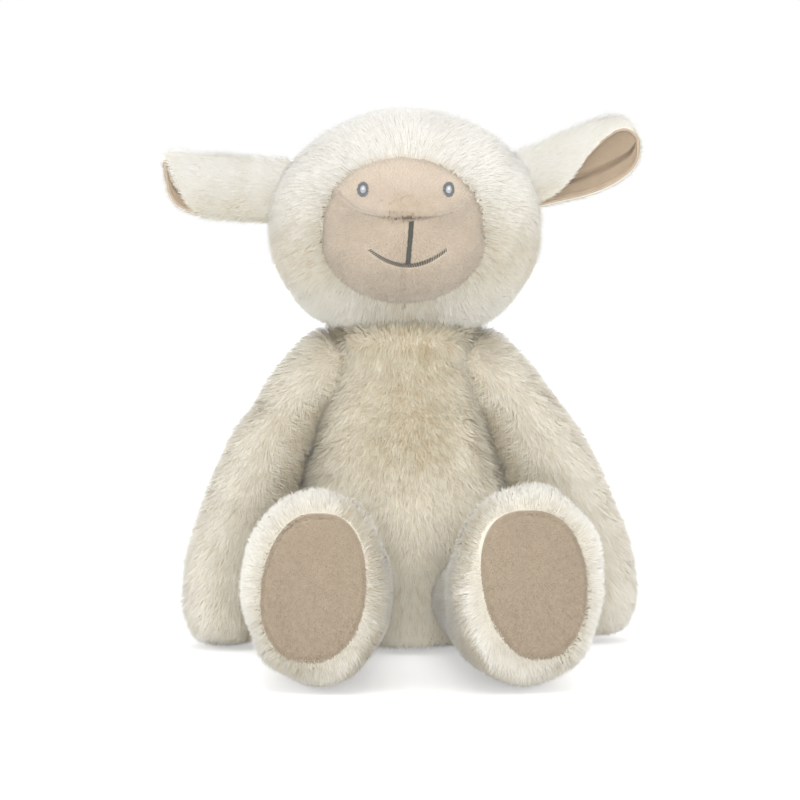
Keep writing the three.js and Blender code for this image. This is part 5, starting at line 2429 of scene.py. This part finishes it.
@dataclass
class Arm(Limb):
    """A long hanging arm whose paw rests on the floor."""

    side: Side
    pivot: tuple = (34.0, 0.0, 130.0)
    ball: float = 19.0
    drop: float = 130.0
    reach: float = 70.0
    half_depth: float = 22.0
    forward: float = 16.0
    swing: float = 0.0
    splay: float = 0.0
    inward: float = 0.02
    inward_from: Step = Step(0.02, 0.25)
    inward_to: Step = Step(0.5, 0.85)
    lump: float = 0.4
    lump_size: float = 24.0
    socket_gap: float = 2.0
    pile_depth: float = 3.8
    aside_comb: float = 0.25
    around_comb: float = 0.2
    top: Step = Step(-12.0, 6.0)
    top_comb: float = 0.9
    paw_height: float = 26.0
    paw: Step = Step(0.0, 24.0)
    paw_loss: float = 0.4
    inner_turn: float = 0.15
    inner_height: float = 60.0
    inner_chance: float = 0.35
    inner_comb: tuple = (-1.0, -0.2, -0.4)
    turn: Step = Step(0.1, 0.6)
    # tones of the pile: painted light on the outer side, painted shade on the inner side and in the fold
    # against the body
    plain_tone: float = 0.55
    outer_painted_light: float = 0.42
    inner_painted_shade: float = 0.3
    fold_gaps: tuple = (0.5, 1.5, 3.0)
    fold_high: Step = Step(105.0, 122.0)
    fold_painted_shade: float = 0.95
    buried: float = 9.0  # how deep in the body a root has no pile
    ring_shares: tuple = (
        (0.975, 0.47, 0.92, 0.55, 1.0),
        (0.91, 0.415, 0.985, 0.85, 1.0),
        (0.8, 0.36, 1.005, 1.0, 0.95),
        (0.64, 0.305, 0.965, 1.0, 0.82),
        (0.44, 0.235, 0.84, 0.98, 0.7),
        (0.27, 0.15, 0.705, 0.97, 0.58),
        (0.15, 0.03, 0.56, 0.96, 0.5),
        (0.04, -0.18, 0.425, 0.92, 0.42),
        (-0.06, -0.22, 0.28, 0.8, 0.3),
        (-0.125, -0.12, 0.15, 0.45, 0.15),
    )

    def surface(self) -> Grid:
        """The outer surface of the pile, from the ring table, turned and moved to the shoulder.

        Returns:
            The surface.
        """
        table = np.array(self.ring_shares)
        down, inner, outer, deep, ahead = table.T
        inner = inner - self.inward * self.inward_from.of(down) * (1 - self.inward_to.of(down))
        middle, half = self.reach * (inner + outer) / 2, self.reach * (outer - inner) / 2
        depth = self.half_depth * deep
        rings = np.stack([-self.drop * down, middle, -self.forward * ahead, half, depth, depth], axis=1)
        points = loft(rings, -self.drop, self.ball, *ARM_GRID)
        side = self.side.value
        points[..., 0] *= side
        points = turned(points, "y", -side * self.splay)
        points = turned(points, "x", self.swing)
        grid = Grid(points + np.array(self.middle()))
        return grid if side > 0 else grid.flipped()

    def fleece(self, base: Grid, paw_end: float, torso: Torso) -> Fleece:
        """The pile's roots: it lies down the arm, aside over the shoulder and across the inner side.

        Args:
            base: the cover.
            paw_end: height of the paw's lowest place.
            torso: the body that the arm lies against.

        Returns:
            The fleece, without the roots that the body hides.
        """
        side = self.side.value
        roots, normals = base.roots(PLUSH_ARM.density, np.random.default_rng(Seed.ARM_ROOTS + side))
        height = roots[:, 2]
        comb = np.array([self.aside_comb * side, 0.0, -1.0])
        comb = comb + self.around_comb * unit(normals * np.array(LEVEL))
        top = self.top.of(height - self.pivot[2])[:, None]
        comb = comb + top * np.array([self.top_comb * side, 0.0, 0.0])
        share = 1 - self.paw_loss * self.paw.of(paw_end + self.paw_height - height)
        turn = side * normals[:, 0]
        inner = (-turn > self.inner_turn) & (height > self.inner_height)
        inner &= np.random.default_rng(Seed.ARM_INWARD).random(len(roots)) < self.inner_chance
        across = np.array(self.inner_comb) * np.array([side, 1.0, 1.0])
        comb = np.where(inner[:, None], across, comb)
        # painted shade in the fold against the body and on the inner side; painted light on the outer side
        fold = sum(torso.holds(roots, -gap) * 1.0 for gap in self.fold_gaps) / len(self.fold_gaps)
        fold *= 1 - self.fold_high.of(height)
        tone = self.plain_tone + self.outer_painted_light * self.turn.of(turn) - self.inner_painted_shade * self.turn.of(-turn)
        ball = np.linalg.norm(roots - np.array(self.middle()), axis=1) < self.ball
        fleece = Fleece(roots, normals, comb, share, light=tone * (1 - self.fold_painted_shade * fold))
        return fleece.kept(~(ball & torso.holds(roots, self.buried)))

    def build(self, finishes: Finishes, torso: Torso) -> None:
        """Makes the cover, its pile, the filling and the shoulder seam.

        Args:
            finishes: all the finishes.
            torso: the body that the arm lies against.
        """
        body = f"arm_{self.side.word}"
        outer = self.surface().lumpy(self.lump, self.lump_size, Seed.ARM_LUMPS + self.side.value)
        base = outer.moved(-self.pile_depth)
        cover = add_cover(body, base, finishes.cream_backing, "cream_plush")
        fleece = self.fleece(base, outer.points[..., 2].min(), torso)
        angle = np.arctan2(fleece.roots[:, 1], fleece.roots[:, 0])
        grow_all(body, fleece, angle, 1, PLUSH_ARM, Seed.ARM_PILE, finishes.arm_pile, "cream_plush")
        add_filling(body, base, [], Seed.ARM_FILLING, finishes)
        add_seam(f"shoulder_{self.side.word}", "x", finishes)


@dataclass
class Leg(Limb):
    """A leg that lies forwards and ends in a large upright foot with a velour sole."""

    side: Side
    splay: float
    pivot: tuple = (33.0, -40.0, 27.0)
    ball: float = 23.0
    length: float = 107.5
    foot_half_width: float = 32.5
    foot_half_height: float = 43.3
    foot_rise: float = 16.6
    lump: float = 0.7
    lump_size: float = 26.0
    socket_gap: float = 2.0
    pile_depth: float = 3.6
    sole_half_width: float = 22.0
    sole_half_height: float = 31.5
    sole_rise: float = 19.0
    sole_taper: float = -0.04
    sole_skew: float = 0.08
    sole_hole: float = 0.02  # the innermost ring of the sole, closed by one point
    sole_recess: float = 1.6
    sole_depth: float = 1.2
    sole_crown: float = 2.4
    sole_crown_power: float = 0.8
    sole_tuck: float = 1.0
    sole_edge_from: Step = Step(0.9, 1.0)
    sole_wave: float = 0.25
    sole_wave_size: float = 16.0
    sole_bend: tuple = (0.001, 0.0018)  # across and up, per millimetre squared
    sole_powers: tuple = (0.78, 0.88, 0.95)  # upper and lower across, and up
    sole_back: float = 1.5
    sole_nap: tuple = (0.25, 0.0, -0.8)
    rim_power: float = 2.4
    bare_to: float = 0.99  # the share of the sole's size that the foot's pile keeps clear of
    foot_depth: float = 16.0
    root_bare: float = 8.0
    back_comb: tuple = (0.0, 0.75, -0.65)
    back_weight: float = 1.18
    fan_from: Step = Step(0.62, 0.86)
    rim_near: Step = Step(1.0, 1.35)
    rim_loss: float = 0.2
    rim_lean: float = 0.5
    inward_chance: float = 0.6
    inward_slope: float = 0.6
    inward_length: float = 0.62
    underside: Step = Step(0.5, 1.0)
    underside_loss: float = 0.3
    # tones of the pile: painted shade round the sole's rim, on the inner flank and underneath
    rim_dark: Step = Step(1.02, 1.25)
    flank: Step = Step(0.25, 0.7)
    under: Step = Step(0.1, 0.7)
    plain_tone: float = 0.97
    rim_painted_shade: float = 0.3
    flank_painted_shading: float = 0.6
    under_painted_shade: float = 0.5
    lowest_tone: float = 0.2
    root_shares: tuple = (-0.85, -0.55, -0.2, 0.15)
    ring_shares: tuple = (
        (0.16, 0.0, 0.70, 0.53),
        (0.26, -0.02, 0.715, 0.54),
        (0.42, -0.05, 0.755, 0.57),
        (0.56, 0.06, 0.8, 0.635),
        (0.635, 0.38, 0.885, 0.76),
        (0.71, 0.72, 0.965, 0.885),
        (0.8, 1.0, 1.0, 1.0),
        (0.89, 1.0, 0.97, 0.97),
        (0.95, 0.97, 0.86, 0.86),
        (0.985, 0.94, 0.64, 0.66),
    )

    def placed(self, points: Array) -> Array:
        """Leg coordinates (across, height, along) put on the body."""
        out = np.stack([points[..., 0], -points[..., 2], points[..., 1]], axis=-1)
        return turned(out, "z", self.side.value * self.splay) + np.array(self.middle())

    def local(self) -> Array:
        """The outer surface of the pile in leg coordinates: the ball of the root, then the ring table.

        Returns:
            Points of the surface.
        """
        place = np.array(self.root_shares)
        none = np.zeros(len(place))
        round_half = self.ball * np.sqrt(1 - place**2)
        root = np.stack([self.ball * place, none, none, round_half, round_half, round_half], axis=1)
        table = np.array(self.ring_shares)
        zero = np.zeros(len(table))
        along, rise, half = self.length * table[:, 0], self.foot_rise * table[:, 1], table[:, 2]
        height = self.foot_half_height * table[:, 3]
        rings = np.stack([along, zero, rise, self.foot_half_width * half, height, height], axis=1)
        return loft(np.vstack([root, rings]), -self.ball, self.length, *LEG_GRID)

    def surface(self) -> Grid:
        """The outer surface of the pile."""
        return Grid(self.placed(self.local()))

    def sole_edge(self, angle: Array, grow: float = 0.0) -> tuple[Array, Array]:
        """The sole's outline, an egg with its broad end up: the half width follows the height.

        Args:
            angle: angles round the middle.
            grow: how much larger than the outline itself.

        Returns:
            Places across and heights.
        """
        sin, cos = np.sin(angle), np.cos(angle)
        width = self.sole_half_width * (1 + self.sole_taper * sin) + grow
        upper, lower, up = self.sole_powers
        x = width * np.sign(cos) * np.abs(cos) ** np.where(sin > 0, upper, lower)
        rise = (self.sole_half_height + grow) * np.sign(sin) * np.abs(sin) ** up
        return x + self.sole_skew * rise, self.sole_rise + rise

    def sole_grid(self) -> Grid:
        """The sole: rings from the middle to the outline, crowned as the cosine of a quarter turn.

        Returns:
            The surface.
        """
        rows, columns = SOLE_GRID
        share = np.linspace(self.sole_hole, 1, rows)[:, None]
        angle = np.linspace(0, FULL_TURN, columns, endpoint=False)[None, :]
        edge_x, edge_z = self.sole_edge(angle)
        x = edge_x * share
        height = self.sole_rise + (edge_z - self.sole_rise) * share
        flat = np.stack([x.ravel(), height.ravel(), np.zeros(x.size)], axis=1)
        wave = wander(flat, self.sole_wave_size, Seed.SOLE_WAVE)[:, 0].reshape(x.shape)
        crown = self.sole_crown * np.cos(share * math.pi / 2) ** self.sole_crown_power
        tuck = self.sole_tuck * self.sole_edge_from.of(share)
        along = self.length - self.sole_recess - self.sole_depth + crown - tuck
        along = along + self.sole_wave * wave * (1 - share)
        along = along - self.sole_bend[1] * (height - self.sole_rise) ** 2 - self.sole_bend[0] * x**2
        return Grid(self.placed(np.stack([x, height, np.broadcast_to(along, x.shape)], axis=-1)))

    def build(self, finishes: Finishes) -> None:
        """Makes the cover, its pile, the sole with its pile, the filling and the hip seam.

        Args:
            finishes: all the finishes.
        """
        word, body = self.side.word, f"leg_{self.side.word}"
        outer = self.surface().lumpy(self.lump, self.lump_size, Seed.LEG_LUMPS + self.side.value)
        base = outer.moved(-self.pile_depth)
        cover = add_cover(body, base, finishes.cream_backing, "cream_plush")
        fleece = self.fleece(base)
        along = fleece.roots[:, 1]
        grow_all(body, fleece, along, 2, PLUSH_FOOT, Seed.LEG_PILE, finishes.cream_pile, "cream_plush")
        self.build_sole(finishes, body)
        add_filling(body, base, [], Seed.LEG_FILLING, finishes)
        add_seam(f"hip_{self.side.word}", "y", finishes)

    def sole_reach(self, x: Array, height: Array) -> Array:
        """How far places lie from the sole's middle, as a share of the way to its outline.

        Args:
            x: places across.
            height: places up, from the sole's middle.

        Returns:
            The shares: 1 lies on the outline.
        """
        high = height / self.sole_half_height
        width = self.sole_half_width * (1 + self.sole_taper * np.clip(high, -1, 1))
        across = np.abs((x - self.sole_skew * height) / width)
        return (across**self.rim_power + np.abs(high) ** self.rim_power) ** (1 / self.rim_power)

    def fleece(self, base: Grid) -> Fleece:
        """The pile's roots: it fans out round the sole, and lies backwards further back.

        Args:
            base: the cover.

        Returns:
            The fleece.
        """
        side = self.side.value
        roots, normals = base.roots(PLUSH_FOOT.density, np.random.default_rng(Seed.LEG_ROOTS + side))
        local = turned(roots - np.array(self.middle()), "z", -side * self.splay)
        x, height, along = local[:, 0], local[:, 2] - self.sole_rise, -local[:, 1]
        reach = self.sole_reach(x, height)
        front = along > self.length - self.foot_depth
        keep = ~((reach < self.bare_to) & front) & (along > -self.root_bare)
        fan = turned(unit(np.stack([x, np.zeros_like(x), height], axis=1)), "z", side * self.splay)
        share_front = self.fan_from.of(along / self.length)[:, None]
        comb = fan * share_front + np.array(self.back_comb) * (self.back_weight - share_front)
        near = (1 - self.rim_near.of(reach)) * front
        inward = near * np.random.default_rng(Seed.LEG_INWARD).random(len(roots)) > self.inward_chance
        inward &= np.abs((fan * normals).sum(axis=1)) < self.inward_slope
        comb = np.where(inward[:, None], -fan, comb)
        share = (1 - self.rim_loss * near) * (1 - self.underside_loss * self.underside.of(-normals[:, 2]))
        share = share * np.where(inward, self.inward_length, 1.0)
        # painted shade round the sole's rim, on the flank that faces the other foot and underneath
        tone = self.plain_tone - self.rim_painted_shade * (1 - self.rim_dark.of(reach)) * front
        tone = tone - self.flank_painted_shading * self.flank.of(-side * normals[:, 0])
        tone = np.maximum(tone - self.under_painted_shade * self.under.of(-normals[:, 2]), self.lowest_tone)
        return Fleece(roots, normals, comb, share, 1 - self.rim_lean * near, tone).kept(keep)

    def build_sole(self, finishes: Finishes, body: str) -> None:
        """The sole: a thin cushion with its rim turned in, and short pile.

        Args:
            finishes: all the finishes.
            body: the body that it moves with.
        """
        grid = self.sole_grid()
        if grid.normals[..., 1].mean() > 0:
            grid = grid.flipped()
        points = np.concatenate([grid.points, grid.points[::-1] + np.array([0.0, self.sole_back, 0.0])])
        piece = closed_tube(f"{body}_sole_panel", Grid(points))
        dress(piece, finishes.sole, body, "beige_velour", f"{body}_sole")
        rng = np.random.default_rng(Seed.SOLE_ROOTS + self.side.value)
        fleece = even_fleece(grid, SOLE_NAP.density, np.array(self.sole_nap), rng)
        pile = fleece.grow(f"{body}_sole_pile", SOLE_NAP, Seed.SOLE_PILE)
        dress(pile, finishes.sole_pile, body, "beige_velour")


@dataclass
class Tail:
    """A small hanging tail."""

    pivot: tuple = (0.0, 48.0, 34.0)
    length: float = 27.0
    half_width: float = 10.0
    lean: float = math.radians(28)
    fullness: float = 0.7
    roundness: float = 0.8
    flat: float = 0.8
    pile_depth: float = 3.2
    density: float = 3.4
    comb: tuple = (0.0, 0.3, -1.0)
    end_shares: tuple = (0.02, 0.985)

    def surface(self) -> Grid:
        """The outer surface of the pile: the half width is a power of a sine along the tail.

        Returns:
            The surface.
        """
        rows, columns = TAIL_GRID
        share = np.linspace(*self.end_shares, rows)[:, None]
        size = self.half_width * np.sin(math.pi * share**self.fullness) ** self.roundness
        angle = np.linspace(0, FULL_TURN, columns, endpoint=False)[None, :]
        x = size * np.cos(angle)
        y = size * self.flat * np.sin(angle)
        z = np.broadcast_to(-self.length * (1 - share), x.shape)
        points = turned(np.stack([x, y, z], axis=-1), "x", self.lean)
        return Grid(points + np.array(self.pivot))

    def build(self, finishes: Finishes) -> None:
        """Makes the cover and its pile.

        Args:
            finishes: all the finishes.
        """
        base = self.surface().moved(-self.pile_depth)
        cover = dress(closed_tube("tail_cover", base), finishes.cream_backing, "tail", "cream_plush", "tail")
        rng = np.random.default_rng(Seed.TAIL_ROOTS)
        fleece = even_fleece(base, self.density, np.array(self.comb), rng)
        pile = fleece.grow("tail_pile", PLUSH_FOOT, Seed.TAIL_PILE)
        dress(pile, finishes.cream_pile, "tail", "cream_plush")


@dataclass(frozen=True)
class Lamp:
    """A square soft lamp, its place and size in metres and its power in watts."""

    name: str
    place: tuple[float, float, float]
    size: float
    power: float

    def build(self, aim: Vector) -> None:
        """Makes the lamp, pointing at a place.

        Args:
            aim: the place, in metres.
        """
        data = bpy.data.lights.new(self.name, "AREA")
        data.size = self.size
        data.energy = self.power
        lamp = bpy.data.objects.new(self.name, data)
        lamp.location = self.place
        lamp.rotation_euler = (aim - lamp.location).to_track_quat("-Z", "Y").to_euler()
        bpy.context.scene.collection.objects.link(lamp)


@dataclass
class Studio:
    """Camera, soft lamps and a pale floor."""

    look_at: tuple = (-2.35, 0.0, 114.2)
    distance: float = 1300.0
    elevation: float = math.radians(4.5)
    lens: float = 124.5
    sensor: float = 36.0
    furthest: float = 100.0
    lit_place: tuple = (0.0, 0.0, 0.12)  # metres
    lamps: tuple = (
        Lamp("key", (-0.05, -0.7, 1.5), 1.2, 7.6),
        Lamp("front", (0.0, -1.7, 0.2), 0.7, 19.5),
        Lamp("left", (-1.5, 0.2, 0.4), 0.9, 6.0),
        Lamp("right", (1.5, 0.2, 0.4), 0.9, 7.0),
        Lamp("back", (0.1, 0.9, 1.4), 1.2, 5.0),
    )
    world_light: float = 0.54
    floor_half: float = 6.0  # metres
    floor_glow: tuple = (("From Min", 0.12), ("From Max", 0.6), ("To Min", 0.42), ("To Max", 1.0))
    paper_stops: tuple = ((0.3, (0.93, 0.93, 0.93)), (0.7, (0.95, 0.95, 0.95)))

    def build(self) -> None:
        """Makes the camera, the lamps, the world and the floor."""
        scene = bpy.context.scene
        scene.view_settings.view_transform = "Standard"
        data = bpy.data.cameras.new("camera")
        data.lens = self.lens
        data.sensor_width = self.sensor
        data.clip_end = self.furthest
        camera = bpy.data.objects.new("camera", data)
        scene.collection.objects.link(camera)
        away = np.array([0.0, -math.cos(self.elevation), math.sin(self.elevation)]) * self.distance
        camera.location = (np.array(self.look_at) + away) * MM
        camera.rotation_euler = (math.pi / 2 - self.elevation, 0.0, 0.0)
        scene.camera = camera
        for lamp in self.lamps:
            lamp.build(Vector(self.lit_place))
        self.world()
        self.floor()

    def world(self) -> None:
        """A white world to the camera, and a dimmer one that lights the object."""
        world = bpy.data.worlds.new("studio")
        bpy.context.scene.world = world
        world.use_nodes = True
        tree = world.node_tree
        background = tree.nodes["Background"]
        background.inputs["Color"].default_value = (*WHITE, 1.0)
        path = tree.nodes.new("ShaderNodeLightPath")
        range_node = tree.nodes.new("ShaderNodeMapRange")
        range_node.inputs["To Min"].default_value = self.world_light
        range_node.inputs["To Max"].default_value = 1.0
        tree.links.new(path.outputs["Is Camera Ray"], range_node.inputs["Value"])
        tree.links.new(range_node.outputs["Result"], background.inputs["Strength"])

    def floor(self) -> None:
        """A wide white floor that keeps the shadow."""
        half = self.floor_half
        points = np.array([[-half, -half, 0], [half, -half, 0], [half, half, 0], [-half, half, 0]]) / MM
        obj = put_mesh("floor", points, np.array([[0, 1, 2, 3]]), False)
        nodes = Nodes("floor_paper", 0.9, 0.0)
        nodes.colour(nodes.ramp(nodes.noise(3.0), *self.paper_stops))
        path = nodes.add("ShaderNodeLightPath")
        away = nodes.add("ShaderNodeVectorMath", operation="LENGTH")
        nodes.link(nodes.place(), away.inputs[0])
        spread = nodes.add("ShaderNodeMapRange")
        for socket, value in self.floor_glow:
            nodes.set(spread, socket, value)
        nodes.link(away.outputs["Value"], spread.inputs["Value"])
        glow = nodes.add("ShaderNodeMath", operation="MULTIPLY")
        nodes.link(path.outputs["Is Camera Ray"], glow.inputs[0])
        nodes.link(spread.outputs["Result"], glow.inputs[1])
        nodes.set(nodes.shader, "Emission Color", (*WHITE, 1.0))
        nodes.link(glow.outputs["Value"], nodes.shader.inputs["Emission Strength"])
        obj.data.materials.append(nodes.material)


def make_arms() -> list[Arm]:
    """Both arms; the right one hangs a little further back and out."""
    return [Arm(Side.LEFT), Arm(Side.RIGHT, swing=math.radians(9), splay=math.radians(3), inward=0.1)]


def make_legs() -> list[Leg]:
    """Both legs; the right one points further out and its foot is a little larger."""
    right = Leg(
        Side.RIGHT,
        splay=math.radians(12),
        foot_half_width=34.3,
        foot_half_height=44.1,
        foot_rise=17.4,
        sole_rise=20.0,
        sole_half_width=22.6,
        sole_taper=0.08,
        sole_skew=-0.1,
    )
    return [Leg(Side.LEFT, splay=math.radians(3.2)), right]


def make_ears() -> list[Ear]:
    """Both ears: the left one folded over nearly to its tip, the right one raised and open.

    Returns:
        The left ear and the right one.
    """
    left = Ear(
        Side.LEFT,
        pivot=(54.0, 2.0, 211.8),
        length=60.5,
        raise_angle=math.radians(4.2),
        flap_start=0.6,
        flap_end=1.05,
        flap_high=30.0,
        flap_low=-84.0,
        trim_from=0.66,
        tip_lift=1.0,
        root_swell=0.08,
        tip_thin=0.35,
    )
    right = Ear(Side.RIGHT, pivot=(54.0, 2.0, 216.0), length=59.5, raise_angle=math.radians(21), belly=0.25)
    return [left, right]


def main() -> None:
    """Builds the studio and every piece of the sheep."""
    logging.basicConfig(level=logging.INFO, format="%(message)s")
    Studio().build()
    finishes = Finishes()
    arms, legs, ears = make_arms(), make_legs(), make_ears()
    torso = Torso()
    torso.build(finishes, [limb.socket() for limb in [*arms, *legs]])
    head = Head()
    face = Face(head)
    head.build(finishes, [*(ear.socket() for ear in ears), torso.neck_socket()], face)
    face.build(finishes)
    for ear in ears:
        ear.build(finishes)
    for arm in arms:
        arm.build(finishes, torso)
    for leg in legs:
        leg.build(finishes)
    Tail().build(finishes)


if __name__ == "__main__":
    main()
